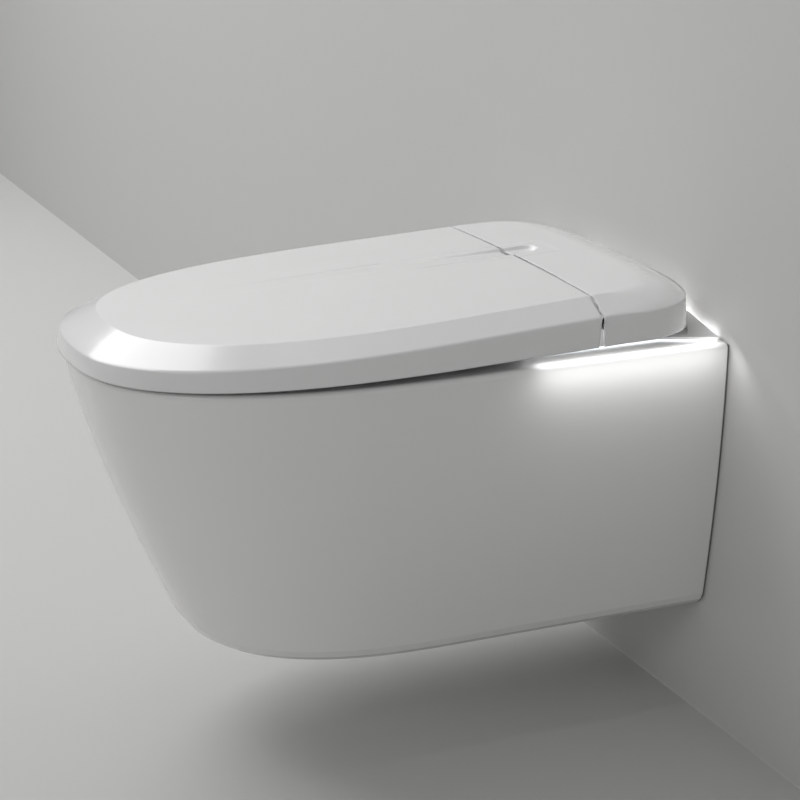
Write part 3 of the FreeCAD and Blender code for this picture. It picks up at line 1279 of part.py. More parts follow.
valve_x = -size("valve_place")
valve_y = -size("valve_setback")
valve = box(valve_x - size("valve_length") / 2, valve_x + size("valve_length") / 2,
            valve_y - size("valve_depth") / 2, valve_y + size("valve_depth") / 2,
            floor_top, floor_top + size("valve_height"))
valve = valve.fuse(rod_z(size("coil_diameter") / 2, floor_top,
                         floor_top + size("valve_height") + size("coil_height"),
                         valve_x, valve_y))
valve = valve.fuse(rod_x(size("pillar_radius"), valve_x, valve_x + size("valve_length") * 0.75, valve_y,
                         floor_top + size("valve_height") * 0.5))
valve = valve.cut(rod_z(size("supply_bore") / 2, floor_low, floor_top + size("valve_height") * 0.5,
                        valve_x, valve_y))
shaped("inlet_valve", valve.Solids[0])

# Supply fitting
# Brass nipple through the deck, for the water hose from the wall.

nipple = bound("Part::Cylinder", "nipple", Radius="sizes.supply_diameter / 2",
               Height="sizes.supply_length + sizes.plate_thickness + sizes.floor_thickness")
placed(nipple, "-sizes.valve_place", "-sizes.valve_setback", "sizes.rim_height - sizes.supply_length")
nipple_flange = bound("Part::Cylinder", "nipple_flange", Radius="sizes.supply_flange / 2",
                      Height="sizes.plate_thickness")
placed(nipple_flange, "-sizes.valve_place", "-sizes.valve_setback", "sizes.rim_height")
nipple_bore = bound("Part::Cylinder", "nipple_bore", Radius="sizes.supply_bore / 2",
                    Height="3 * sizes.supply_length")
placed(nipple_bore, "-sizes.valve_place", "-sizes.valve_setback",
       "sizes.rim_height - 2 * sizes.supply_length")
nipple_blank = boolean("Part::Fuse", "nipple_blank", nipple, nipple_flange)
keep(boolean("Part::Cut", "supply_fitting", nipple_blank, nipple_bore), "supply_fitting")

# Control board
# Circuit board on the chassis pillars with a few parts on it.

board_middle = -size("board_setback")
circuit = size("circuit_thickness")
board = box(-size("board_width") / 2, size("board_width") / 2, board_middle - size("board_depth") / 2,
            board_middle + size("board_depth") / 2, board_z, board_z + circuit)


def board_part(place_x, place_y, across, deep, tall):
    """A part on the board, as shares of the board's own sizes from its middle."""
    part_x = size("board_width") * place_x
    part_y = board_middle + size("board_depth") * place_y
    half_x = size("board_width") * across / 2
    half_y = size("board_depth") * deep / 2
    top = board_z + circuit * (1 + tall)
    return box(part_x - half_x, part_x + half_x, part_y - half_y, part_y + half_y, board_z, top)


board = board.fuse(board_part(place_x=-0.36, place_y=-0.1, across=0.16, deep=0.3, tall=2.25))
board = board.fuse(board_part(place_x=0.02, place_y=0.12, across=0.14, deep=0.26, tall=0.8))
board = board.fuse(board_part(place_x=0.34, place_y=-0.12, across=0.1, deep=0.34, tall=2.5))
shaped("control_board", board.Solids[0])

# Check and write every node

doc.recompute()
os.makedirs("parts", exist_ok=True)
for obj in doc.Objects:
    if "Invalid" in obj.State or "Error" in obj.State:
        raise RuntimeError(f"{obj.Label} did not recompute")
for node in nodes:
    shape = node.Shape
    if shape.isNull() or not shape.isValid() or not shape.Solids:
        raise RuntimeError(f"{node.Label} has no sound shape")
    shape.exportStep(f"parts/{node.Label}.step")
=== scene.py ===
import math

import bpy
import numpy as np
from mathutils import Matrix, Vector


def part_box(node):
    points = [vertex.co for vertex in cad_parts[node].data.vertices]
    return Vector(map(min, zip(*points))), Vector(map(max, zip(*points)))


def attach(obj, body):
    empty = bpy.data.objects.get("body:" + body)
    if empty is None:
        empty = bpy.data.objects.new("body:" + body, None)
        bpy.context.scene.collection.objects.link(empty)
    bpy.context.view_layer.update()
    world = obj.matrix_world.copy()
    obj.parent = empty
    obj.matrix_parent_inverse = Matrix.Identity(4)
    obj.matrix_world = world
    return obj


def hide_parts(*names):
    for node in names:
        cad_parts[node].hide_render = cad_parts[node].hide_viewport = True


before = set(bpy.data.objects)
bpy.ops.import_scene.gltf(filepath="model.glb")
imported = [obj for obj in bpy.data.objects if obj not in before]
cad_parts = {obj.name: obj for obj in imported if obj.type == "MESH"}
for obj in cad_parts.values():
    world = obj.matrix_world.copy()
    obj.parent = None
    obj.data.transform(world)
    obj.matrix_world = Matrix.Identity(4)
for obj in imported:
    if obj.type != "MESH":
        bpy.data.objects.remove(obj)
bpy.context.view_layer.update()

# Ceramic bowl
# One vitreous china casting: skirt, deck, basin, sump, trap, flush inlet and lugs. It is slip cast, glazed
# white and fired. The glaze ripples very slightly, and the ground rear face stays bare and dull.


def shader_group(name, inputs, outputs):
    """An empty shader group with float or vector inputs and float or colour outputs."""
    group = bpy.data.node_groups.new(name, "ShaderNodeTree")
    for label, kind, value in inputs:
        socket = group.interface.new_socket(label, in_out="INPUT", socket_type=kind)
        if value is not None:
            socket.default_value = value
    for label, kind in outputs:
        group.interface.new_socket(label, in_out="OUTPUT", socket_type=kind)
    return group, group.nodes.new("NodeGroupInput"), group.nodes.new("NodeGroupOutput")


def finish_of(name, strength, distance, edge=0.0):
    """A material with its Principled shader, object coordinates and a bump ready to be wired.
    An edge radius rounds the look of sharp edges."""
    material = bpy.data.materials.new(name)
    material.use_nodes = True
    nodes = material.node_tree.nodes
    shader = nodes["Principled BSDF"]
    place = nodes.new("ShaderNodeTexCoord")
    bump = nodes.new("ShaderNodeBump")
    bump.inputs["Strength"].default_value = strength
    bump.inputs["Distance"].default_value = distance
    material.node_tree.links.new(bump.outputs["Normal"], shader.inputs["Normal"])
    if edge:
        rounded = nodes.new("ShaderNodeBevel")
        rounded.samples = 8
        rounded.inputs["Radius"].default_value = edge
        material.node_tree.links.new(rounded.outputs["Normal"], bump.inputs["Normal"])
    return material, shader, place, bump


def dress(material, *names):
    """Gives CAD nodes a finish in all their material slots."""
    for name in names:
        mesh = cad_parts[name].data
        mesh.materials.clear()
        mesh.materials.append(material)


def mixed_colour(material, factor, low, high):
    """A colour that runs between two tones by a factor socket."""
    mix = material.node_tree.nodes.new("ShaderNodeMix")
    mix.data_type = "RGBA"
    mix.inputs["A"].default_value = (*low, 1)
    mix.inputs["B"].default_value = (*high, 1)
    material.node_tree.links.new(factor, mix.inputs["Factor"])
    return mix


def ranged(tree, value, low, high, start=0.0, end=1.0):
    """Maps a value from one range to another."""
    span = tree.nodes.new("ShaderNodeMapRange")
    span.inputs["From Min"].default_value = start
    span.inputs["From Max"].default_value = end
    span.inputs["To Min"].default_value = low
    span.inputs["To Max"].default_value = high
    tree.links.new(value, span.inputs["Value"])
    return span.outputs["Result"]


# Ripple of a poured surface: broad tone drift and a fine wave
ripple, ripple_in, ripple_out = shader_group(
    "poured_ripple",
    [("Place", "NodeSocketVector", None), ("Drift Size", "NodeSocketFloat", 4.0),
     ("Wave Size", "NodeSocketFloat", 45.0)],
    [("Tone", "NodeSocketFloat"), ("Wave", "NodeSocketFloat")],
)
drift = ripple.nodes.new("ShaderNodeTexNoise")
drift.inputs["Detail"].default_value = 2.0
wave = ripple.nodes.new("ShaderNodeTexNoise")
wave.inputs["Detail"].default_value = 1.0
ripple.links.new(ripple_in.outputs["Place"], drift.inputs["Vector"])
ripple.links.new(ripple_in.outputs["Drift Size"], drift.inputs["Scale"])
ripple.links.new(ripple_in.outputs["Place"], wave.inputs["Vector"])
ripple.links.new(ripple_in.outputs["Wave Size"], wave.inputs["Scale"])
ripple.links.new(drift.outputs["Fac"], ripple_out.inputs["Tone"])
ripple.links.new(wave.outputs["Fac"], ripple_out.inputs["Wave"])


def patterned(name, pattern, low, high, roughness, strength, distance, edge=0.0, **settings):
    """A finish whose tone, roughness and bump come from a shared pattern.
    Returns the material with its shader, coordinates and colour mix for further wiring."""
    material, shader, place, bump = finish_of(name, strength, distance, edge)
    tree = material.node_tree
    source = tree.nodes.new("ShaderNodeGroup")
    source.node_tree = pattern
    for label, value in settings.items():
        source.inputs[label.replace("_", " ")].default_value = value
    tree.links.new(place.outputs["Object"], source.inputs["Place"])
    colour = mixed_colour(material, source.outputs[0], low, high)
    tree.links.new(colour.outputs["Result"], shader.inputs["Base Color"])
    tree.links.new(ranged(tree, source.outputs[0], *roughness), shader.inputs["Roughness"])
    tree.links.new(source.outputs[1], bump.inputs["Height"])
    return material, shader, place, colour


GROUND_FACE = -0.0034
GROUND_FADE = 0.0004
glaze, glaze_shader, glaze_place, glaze_colour = patterned(
    "white_glaze", ripple, low=(0.79, 0.79, 0.785), high=(0.83, 0.83, 0.825),
    roughness=(0.08, 0.14), strength=0.03, distance=0.002, edge=0.0015)
glaze_split = glaze.node_tree.nodes.new("ShaderNodeSeparateXYZ")
glaze.node_tree.links.new(glaze_place.outputs["Object"], glaze_split.inputs["Vector"])
ground = ranged(glaze.node_tree, glaze_split.outputs["Y"], 0, 1, GROUND_FACE, GROUND_FACE + GROUND_FADE)
bare = mixed_colour(glaze, ground, (0, 0, 0), (0.70, 0.67, 0.62))
glaze.node_tree.links.new(glaze_colour.outputs["Result"], bare.inputs["A"])
glaze.node_tree.links.new(bare.outputs["Result"], glaze_shader.inputs["Base Color"])
glaze_shader.inputs["Coat Weight"].default_value = 0.4
glaze_shader.inputs["Coat Roughness"].default_value = 0.04
dress(glaze, "ceramic_skirt", "ceramic_deck", "ceramic_basin", "ceramic_sump", "ceramic_trap",
      "ceramic_inlet", "ceramic_lugs")

# Wall gasket
# A 3 mm sound mat of closed-cell foam between bowl and wall. Its cut faces show fine cells.

cells, cells_in, cells_out = shader_group(
    "foam_cells",
    [("Place", "NodeSocketVector", None), ("Cell Size", "NodeSocketFloat", 900.0)],
    [("Tone", "NodeSocketFloat"), ("Cells", "NodeSocketFloat")],
)
cell = cells.nodes.new("ShaderNodeTexVoronoi")
shade = cells.nodes.new("ShaderNodeTexNoise")
shade.inputs["Scale"].default_value = 60.0
cells.links.new(cells_in.outputs["Place"], cell.inputs["Vector"])
cells.links.new(cells_in.outputs["Cell Size"], cell.inputs["Scale"])
cells.links.new(cells_in.outputs["Place"], shade.inputs["Vector"])
cells.links.new(shade.outputs["Fac"], cells_out.inputs["Tone"])
cells.links.new(cell.outputs["Distance"], cells_out.inputs["Cells"])
foam = patterned(
    "foam_mat", cells, low=(0.16, 0.16, 0.165), high=(0.24, 0.24, 0.245),
    roughness=(0.85, 0.95), strength=0.5, distance=0.0006)[0]
dress(foam, "wall_gasket")

# Fixing sleeves
# Natural nylon sleeves for the wall studs, moulded, with the fine grain of a spark-eroded tool.

grain, grain_in, grain_out = shader_group(
    "moulded_grain",
    [("Place", "NodeSocketVector", None), ("Grain Size", "NodeSocketFloat", 1400.0)],
    [("Tone", "NodeSocketFloat"), ("Grain", "NodeSocketFloat")],
)
spark = grain.nodes.new("ShaderNodeTexNoise")
spark.inputs["Detail"].default_value = 3.0
flow = grain.nodes.new("ShaderNodeTexNoise")
flow.inputs["Scale"].default_value = 18.0
flow.inputs["Distortion"].default_value = 0.6
grain.links.new(grain_in.outputs["Place"], spark.inputs["Vector"])
grain.links.new(grain_in.outputs["Grain Size"], spark.inputs["Scale"])
grain.links.new(grain_in.outputs["Place"], flow.inputs["Vector"])
grain.links.new(flow.outputs["Fac"], grain_out.inputs["Tone"])
grain.links.new(spark.outputs["Fac"], grain_out.inputs["Grain"])
nylon, nylon_shader = patterned(
    "natural_nylon", grain, low=(0.66, 0.65, 0.60), high=(0.74, 0.73, 0.69),
    roughness=(0.38, 0.52), strength=0.12, distance=0.0004)[:2]
nylon_shader.inputs["Subsurface Weight"].default_value = 0.15
nylon_shader.inputs["Subsurface Radius"].default_value = (0.002, 0.002, 0.0015)
dress(nylon, "fixing_sleeves")

# Flush seal and bolt sleeves
# Black rubber with a dull, slightly dusty skin.

skin, skin_in, skin_out = shader_group(
    "rubber_skin",
    [("Place", "NodeSocketVector", None), ("Speckle Size", "NodeSocketFloat", 700.0)],
    [("Tone", "NodeSocketFloat"), ("Speckle", "NodeSocketFloat")],
)
speckle = skin.nodes.new("ShaderNodeTexNoise")
speckle.inputs["Detail"].default_value = 4.0
speckle.inputs["Roughness"].default_value = 0.7
dust = skin.nodes.new("ShaderNodeTexNoise")
dust.inputs["Scale"].default_value = 35.0
dust.inputs["Detail"].default_value = 5.0
skin.links.new(skin_in.outputs["Place"], speckle.inputs["Vector"])
skin.links.new(skin_in.outputs["Speckle Size"], speckle.inputs["Scale"])
skin.links.new(skin_in.outputs["Place"], dust.inputs["Vector"])
skin.links.new(dust.outputs["Fac"], skin_out.inputs["Tone"])
skin.links.new(speckle.outputs["Fac"], skin_out.inputs["Speckle"])
rubber = patterned(
    "black_rubber", skin, low=(0.025, 0.025, 0.026), high=(0.06, 0.06, 0.062),
    roughness=(0.6, 0.8), strength=0.25, distance=0.0004)[0]
dress(rubber, "inlet_seal", "bolt_sleeves")

# Mounting plate and hinge pins
# Stainless steel, brushed across the bowl: fine lines that stretch along X.

brush, brush_in, brush_out = shader_group(
    "brushed_lines",
    [("Place", "NodeSocketVector", None), ("Line Size", "NodeSocketFloat", 2200.0)],
    [("Tone", "NodeSocketFloat"), ("Lines", "NodeSocketFloat")],
)
stretch = brush.nodes.new("ShaderNodeVectorMath")
stretch.operation = "MULTIPLY"
stretch.inputs[1].default_value = (0.02, 1, 1)
line = brush.nodes.new("ShaderNodeTexNoise")
line.inputs["Detail"].default_value = 2.0
brush.links.new(brush_in.outputs["Place"], stretch.inputs[0])
brush.links.new(stretch.outputs["Vector"], line.inputs["Vector"])
brush.links.new(brush_in.outputs["Line Size"], line.inputs["Scale"])
brush.links.new(line.outputs["Fac"], brush_out.inputs["Tone"])
brush.links.new(line.outputs["Fac"], brush_out.inputs["Lines"])
steel, steel_shader = patterned(
    "brushed_steel", brush, low=(0.52, 0.52, 0.53), high=(0.66, 0.66, 0.67),
    roughness=(0.28, 0.42), strength=0.15, distance=0.0003)[:2]
steel_shader.inputs["Metallic"].default_value = 1.0
dress(steel, "mounting_plate", "hinge_pins")

# Deck bolts
# Steel with bright zinc plating, which shows faint crystal patches.

zinc, zinc_shader = patterned(
    "zinc_plating", cells, low=(0.54, 0.56, 0.58), high=(0.68, 0.70, 0.72),
    roughness=(0.28, 0.44), strength=0.08, distance=0.0003, Cell_Size=320.0)[:2]
zinc_shader.inputs["Metallic"].default_value = 1.0
dress(zinc, "mounting_bolts")

# Brass nuts and supply fitting
# Turned brass, dulled a little by handling.

brass, brass_shader = patterned(
    "turned_brass", skin, low=(0.56, 0.40, 0.17), high=(0.74, 0.57, 0.28),
    roughness=(0.28, 0.44), strength=0.06, distance=0.0003)[:2]
brass_shader.inputs["Metallic"].default_value = 1.0
dress(brass, "bolt_nuts", "supply_fitting")

# Chassis
# White moulded base of the electric unit, duller than the shells above it.

base = patterned(
    "matt_white", grain, low=(0.72, 0.72, 0.715), high=(0.77, 0.77, 0.765),
    roughness=(0.42, 0.55), strength=0.15, distance=0.0004)[0]
dress(base, "chassis")

# Night light
# A strip of LEDs on a white board under the chassis edge, behind an opal diffuser that glows white.

LED_PITCH = 0.012
CHIP_CORE = 0.14
CHIP_EDGE = 0.17
mask, mask_shader, mask_place, mask_colour = patterned(
    "white_board", grain, low=(0.74, 0.74, 0.73), high=(0.80, 0.80, 0.79),
    roughness=(0.3, 0.4), strength=0.05, distance=0.0003)
led_rows = mask.node_tree.nodes.new("ShaderNodeTexVoronoi")
led_rows.inputs["Scale"].default_value = 1 / LED_PITCH
led_rows.inputs["Randomness"].default_value = 0.0
mask.node_tree.links.new(mask_place.outputs["Object"], led_rows.inputs["Vector"])
chip = ranged(mask.node_tree, led_rows.outputs["Distance"], 1, 0, CHIP_CORE, CHIP_EDGE)
led = mixed_colour(mask, chip, (0, 0, 0), (0.86, 0.78, 0.35))
mask.node_tree.links.new(mask_colour.outputs["Result"], led.inputs["A"])
mask.node_tree.links.new(led.outputs["Result"], mask_shader.inputs["Base Color"])
dress(mask, "night_light_board")
opal, opal_shader = patterned(
    "lit_opal", ripple, low=(0.80, 0.82, 0.84), high=(0.84, 0.86, 0.88),
    roughness=(0.35, 0.45), strength=0.02, distance=0.0005)[:2]
opal_shader.inputs["Emission Color"].default_value = (0.90, 0.95, 1.0, 1)
opal_shader.inputs["Emission Strength"].default_value = 1.2
dress(opal, "night_light_lens")


def soft_box(name, place, target, width, height, power):
    """A rectangular area light at a place, aimed at a target."""
    light = bpy.data.lights.new(name, "AREA")
    light.shape = "RECTANGLE"
    light.size = width
    light.size_y = height
    light.energy = power
    lamp = bpy.data.objects.new(name, light)
    bpy.context.scene.collection.objects.link(lamp)
    lamp.location = place
    aim = Vector(target) - Vector(place)
    lamp.rotation_euler = aim.to_track_quat("-Z", "Y").to_euler()
    return lamp


# Lamps for the glow that the strip throws on skirt, deck, wall and split. They aren't seen themselves.
# Each is placed and aimed from the lens: outwards and up at the sides, along Y and up at wall and split.
GLOW_RUN = 0.19
GLOW_REAR = -0.012
GLOW_MIDDLE = GLOW_REAR - GLOW_RUN / 2
SKIRT_PLACE = (0.034, -0.004)
SKIRT_AIM = (0.014, -0.040)
SKIRT_DEPTH = 0.020
SKIRT_GLOW = 0.036
DECK_PLACE = (0.0065, 0.007)
DECK_AIM = (0.0085, -0.020)
DECK_DEPTH = 0.010
DECK_GLOW = 0.026
WALL_PLACE = (-0.008, 0.004)
WALL_AIM = (0.02, 0.024)
WALL_WIDTH = 0.33
WALL_GLOW = 0.10
SPLIT_INSET = 0.001
SPLIT_RISE = 0.014
SPLIT_AIM = 0.1
SPLIT_WIDTH = 0.34
SPLIT_GLOW = 0.05
SLIT_DEPTH = 0.006
lens_low, lens_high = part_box("night_light_lens")
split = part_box("rear_cover")[0].y
glow_lamps = [
    soft_box("glow_back", (0, WALL_PLACE[0], lens_low.z + WALL_PLACE[1]),
             (0, WALL_AIM[0], lens_low.z + WALL_AIM[1]), WALL_WIDTH, SLIT_DEPTH, WALL_GLOW),
    soft_box("glow_split", (0, split - SPLIT_INSET, lens_low.z + SPLIT_RISE),
             (0, split - SPLIT_INSET, lens_low.z + SPLIT_AIM), SPLIT_WIDTH, SLIT_DEPTH, SPLIT_GLOW),
]
for side, hand in ((-1, "left"), (1, "right")):
    for spot, start, aim, depth, power in (
            ("skirt", SKIRT_PLACE, SKIRT_AIM, SKIRT_DEPTH, SKIRT_GLOW),
            ("deck", DECK_PLACE, DECK_AIM, DECK_DEPTH, DECK_GLOW)):
        glow_lamps.append(soft_box(
            f"glow_{spot}_{hand}", (side * (lens_high.x + start[0]), GLOW_MIDDLE, lens_low.z + start[1]),
            (side * (lens_high.x + aim[0]), GLOW_MIDDLE, lens_low.z + aim[1]), GLOW_RUN, depth, power))
for lamp in glow_lamps:
    lamp.visible_camera = False
    lamp.visible_glossy = False

# Seat, fascia and lid
# Glossy white plastic shells. Their broad faces carry a barely visible moulding wave. The lid's solid is
# copied, and its finger groove gets the flat bed and firm lips of the real one.

gloss, gloss_shader = patterned(
    "gloss_white", ripple, low=(0.80, 0.80, 0.80), high=(0.83, 0.83, 0.83),
    roughness=(0.15, 0.21), strength=0.015, distance=0.002, edge=0.0024, Drift_Size=7.0, Wave_Size=28.0)[:2]
gloss_shader.inputs["Coat Weight"].default_value = 0.25
gloss_shader.inputs["Coat Roughness"].default_value = 0.12
dress(gloss, "seat", "front_fascia")

FACING_UP = 0.5
MERGE_GAP = 0.00001
SOFT_ANGLE = math.radians(15)


def shell_copy(node, name):
    """A merged copy of a shell's solid, alone in the selection."""
    bpy.ops.object.select_all(action="DESELECT")
    shell = bpy.data.objects.new(name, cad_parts[node].data.copy())
    bpy.context.scene.collection.objects.link(shell)
    shell.select_set(True)
    bpy.context.view_layer.objects.active = shell
    bpy.ops.mesh.customdata_custom_splitnormals_clear()
    bpy.ops.object.mode_set(mode="EDIT")
    bpy.ops.mesh.select_mode(type="VERT")
    bpy.ops.mesh.select_all(action="SELECT")
    bpy.ops.mesh.remove_doubles(threshold=MERGE_GAP)
    bpy.ops.object.mode_set(mode="OBJECT")
    return shell


def upper_faces(mesh):
    """A mask of the faces that look up."""
    normals = np.empty(3 * len(mesh.polygons))
    mesh.polygons.foreach_get("normal", normals)
    return normals[2::3] > FACING_UP


def upper_vertices(mesh):
    """The numbers of the vertices that the upper faces use."""
    upper = set()
    for face, looks_up in zip(mesh.polygons, upper_faces(mesh)):
        if looks_up:
            upper.update(face.vertices)
    return upper


def cut_upper(shell, axis, low, high, cell):
    """Cuts the upper faces at even steps across an axis, so that they can be reshaped."""
    across = [0, 0, 0]
    across[axis] = 1
    for place in np.linspace(low, high, round((high - low) / cell) + 1):
        mesh = shell.data
        mesh.vertices.foreach_set("select", np.zeros(len(mesh.vertices), bool))
        mesh.edges.foreach_set("select", np.zeros(len(mesh.edges), bool))
        mesh.polygons.foreach_set("select", upper_faces(mesh))
        bpy.ops.object.mode_set(mode="EDIT")
        bpy.ops.mesh.select_mode(type="FACE")
        bpy.ops.mesh.bisect(plane_co=[place * part for part in across], plane_no=across)
        bpy.ops.object.mode_set(mode="OBJECT")


GROOVE_MIDDLE = -0.024
GROOVE_FRONT = -0.238
GROOVE_END = -0.113
GROOVE_DEPTH = 0.0034
GROOVE_BED = 0.009
GROOVE_LIP = 0.014
GROOVE_REACH = 0.024
GROOVE_CELL = 0.00075
LID_CELL = 8 * GROOVE_CELL
DEPTH_MARGIN = 1.1
BESIDE_GROOVE = 0.03
CROWN_DROP = 0.008


def press_groove(shell, front, rear, cell, top):
    """Gives the upper faces the groove: a flat bed that deepens to the rear, with firm lips and a round end.
    The level that it is pressed into is read beside it."""
    cut_upper(shell, 0, GROOVE_MIDDLE - GROOVE_REACH, GROOVE_MIDDLE + GROOVE_REACH, GROOVE_CELL)
    cut_upper(shell, 0, GROOVE_MIDDLE - BESIDE_GROOVE, GROOVE_MIDDLE + BESIDE_GROOVE, 2 * BESIDE_GROOVE)
    cut_upper(shell, 1, front, rear, cell)
    vertices = shell.data.vertices
    near = [vertices[index] for index in upper_vertices(shell.data)
            if vertices[index].co.z > top - CROWN_DROP]
    beside = {}
    for vertex in near:
        x, y, z = vertex.co
        if abs(abs(x - GROOVE_MIDDLE) - BESIDE_GROOVE) < MERGE_GAP:
            beside[y] = max(z, beside.get(y, z))
    places = sorted(beside)
    levels = [beside[y] for y in places]
    for vertex in near:
        x, y, z = vertex.co
        crown = np.interp(y, places, levels)
        outer = z > crown - DEPTH_MARGIN * GROOVE_DEPTH
        if outer and abs(x - GROOVE_MIDDLE) < GROOVE_REACH and front < y < rear:
            run = math.hypot(x - GROOVE_MIDDLE, max(0, y - GROOVE_END))
            share = min(1, max(0, (GROOVE_LIP - run) / (GROOVE_LIP - GROOVE_BED)))
            deep = min(1, max(0, (y - GROOVE_FRONT) / (GROOVE_END - GROOVE_FRONT)))
            vertex.co.z = crown - GROOVE_DEPTH * deep * share * share * (3 - 2 * share)


def coat_shell(shell):
    """Smooth shading that keeps the creases, and the glossy finish."""
    bpy.ops.object.shade_smooth_by_angle(angle=SOFT_ANGLE)
    shell.data.materials.clear()
    shell.data.materials.append(gloss)


lid_shell = shell_copy("lid", "grooved_lid")
press_groove(lid_shell, GROOVE_FRONT - GROOVE_REACH, split, LID_CELL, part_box("lid")[1].z)
coat_shell(lid_shell)
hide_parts("lid")
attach(lid_shell, "lid")

# Rear cover
# Glossy white moulding behind the split line, with the end of the groove. The crease between top and bevel
# is rounded more and more towards the wall, where the moulding ends in a broad soft shoulder.

SHOULDER_CELL = 0.004
SHOULDER_START = -0.128
SHOULDER_GAIN = 0.1
SHOULDER_DROP = 0.02
BEVEL_SLOPE = 0.4
CREASE_TURN = 0.97
cover_low, cover_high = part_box("rear_cover")
cover = shell_copy("rear_cover", "soft_rear_cover")

# The crease as points in plan, found where two upper faces meet at an angle away from the groove
sides = {}
for face, looks_up in zip(cover.data.polygons, upper_faces(cover.data)):
    if looks_up:
        for key in face.edge_keys:
            sides.setdefault(key, []).append(face.normal)
crease = []
for key, normals in sides.items():
    if len(normals) == 2 and normals[0].dot(normals[1]) < CREASE_TURN:
        start, end = [cover.data.vertices[index].co.xy for index in key]
        if abs(start.x - GROOVE_MIDDLE) > GROOVE_REACH or start.y > GROOVE_END + GROOVE_REACH:
            pieces = 1 + int((end - start).length / SHOULDER_CELL)
            crease += [start.lerp(end, step / pieces) for step in range(pieces + 1)]
crease = np.array(crease)

# The surface sinks most at the crease, and its fall fades out over a width that grows towards the wall
cut_upper(cover, 0, cover_low.x + SHOULDER_CELL, cover_high.x - SHOULDER_CELL, SHOULDER_CELL)
cut_upper(cover, 1, cover_low.y + SHOULDER_CELL, cover_high.y - SHOULDER_CELL, SHOULDER_CELL)
for index in upper_vertices(cover.data):
    place = cover.data.vertices[index].co
    blend = SHOULDER_GAIN * (place.y - SHOULDER_START)
    if blend > 0 and place.z > cover_high.z - SHOULDER_DROP:
        reach = np.hypot(crease[:, 0] - place.x, crease[:, 1] - place.y).min()
        place.z -= max(0, blend - BEVEL_SLOPE * reach) ** 2 / (4 * blend)
press_groove(cover, cover_low.y - GROOVE_CELL, GROOVE_END + GROOVE_REACH, GROOVE_CELL, cover_high.z)
coat_shell(cover)
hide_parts("rear_cover")
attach(cover, "toilet")

# Bumpers
# Soft white rubber pads under lid and seat.

pad = patterned(
    "white_rubber", skin, low=(0.66, 0.66, 0.64), high=(0.74, 0.74, 0.72),
    roughness=(0.6, 0.75), strength=0.15, distance=0.0004)[0]
dress(pad, "lid_bumpers", "seat_bumpers")

# Soft-close dampers, heater and pump
# Dark moulded housings with a coarse grain.

dark = patterned(
    "dark_housing", grain, low=(0.045, 0.045, 0.05), high=(0.085, 0.085, 0.09),
    roughness=(0.4, 0.6), strength=0.3, distance=0.0005, Grain_Size=900.0)[0]
dress(dark, "soft_close_dampers", "flow_heater", "water_pump")

# Spray arm, nozzle tip and their guide
# The arm is white acetal, its tip paler and clearer, and the guide a plain grey moulding.

acetal = patterned(
    "white_acetal", ripple, low=(0.76, 0.76, 0.75), high=(0.80, 0.80, 0.79),
    roughness=(0.28, 0.34), strength=0.02, distance=0.0006)[0]
dress(acetal, "spray_arm")
tip, tip_shader = patterned(
    "pale_tip", ripple, low=(0.70, 0.73, 0.76), high=(0.75, 0.78, 0.81),
    roughness=(0.12, 0.2), strength=0.02, distance=0.0006)[:2]
tip_shader.inputs["Coat Weight"].default_value = 0.5
dress(tip, "nozzle_tip")
grey = patterned(
    "grey_guide", grain, low=(0.42, 0.43, 0.44), high=(0.50, 0.51, 0.52),
    roughness=(0.4, 0.55), strength=0.2, distance=0.0004)[0]
dress(grey, "spray_guide")

# Drive pinion and arm motor
# An ivory acetal gear on a small motor in a black steel can.

ivory = patterned(
    "ivory_acetal", ripple, low=(0.70, 0.66, 0.53), high=(0.76, 0.72, 0.60),
    roughness=(0.3, 0.4), strength=0.03, distance=0.0006)[0]
dress(ivory, "drive_pinion")
can, can_shader = patterned(
    "black_can", brush, low=(0.03, 0.03, 0.032), high=(0.06, 0.06, 0.063),
    roughness=(0.3, 0.45), strength=0.1, distance=0.0003)[:2]
can_shader.inputs["Metallic"].default_value = 0.6
dress(can, "arm_motor")

# Inlet valve
# Pale moulded body with its coil.

cream = patterned(
    "cream_valve", grain, low=(0.62, 0.61, 0.56), high=(0.70, 0.69, 0.65),
    roughness=(0.4, 0.55), strength=0.2, distance=0.0004)[0]
dress(cream, "inlet_valve")

# Control board
# Green solder mask with paler traces. What stands above the board is dark components.

TRACE_PITCH = 260.0
BOARD_THICKNESS = 0.0018
BOARD_FADE = 0.0001
BOARD_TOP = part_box("control_board")[0].z + BOARD_THICKNESS
green, green_shader, green_place, green_colour = patterned(
    "solder_mask", grain, low=(0.015, 0.12, 0.05), high=(0.025, 0.16, 0.07),
    roughness=(0.28, 0.36), strength=0.05, distance=0.0003)
traces = green.node_tree.nodes.new("ShaderNodeTexBrick")
traces.inputs["Scale"].default_value = TRACE_PITCH
traces.inputs["Mortar Size"].default_value = 0.05
green.node_tree.links.new(green_place.outputs["Object"], traces.inputs["Vector"])
copper = mixed_colour(green, traces.outputs["Fac"], (0, 0, 0), (0.05, 0.26, 0.11))
green.node_tree.links.new(green_colour.outputs["Result"], copper.inputs["A"])
green_split = green.node_tree.nodes.new("ShaderNodeSeparateXYZ")
green.node_tree.links.new(green_place.outputs["Object"], green_split.inputs["Vector"])
raised = ranged(green.node_tree, green_split.outputs["Z"], 0, 1, BOARD_TOP, BOARD_TOP + BOARD_FADE)
parts = mixed_colour(green, raised, (0, 0, 0), (0.03, 0.03, 0.032))
green.node_tree.links.new(copper.outputs["Result"], parts.inputs["A"])
green.node_tree.links.new(parts.outputs["Result"], green_shader.inputs["Base Color"])
dress(green, "control_board")

# Floor and wall
# Plain pale studio surfaces: a floor at its real distance below the rim and the wall that carries the bowl.
# Both are seen from their front only, and let light through to what touches them. A hatch behind the bowl
# lets light into its rear recess, so that views from behind stay open and lit.

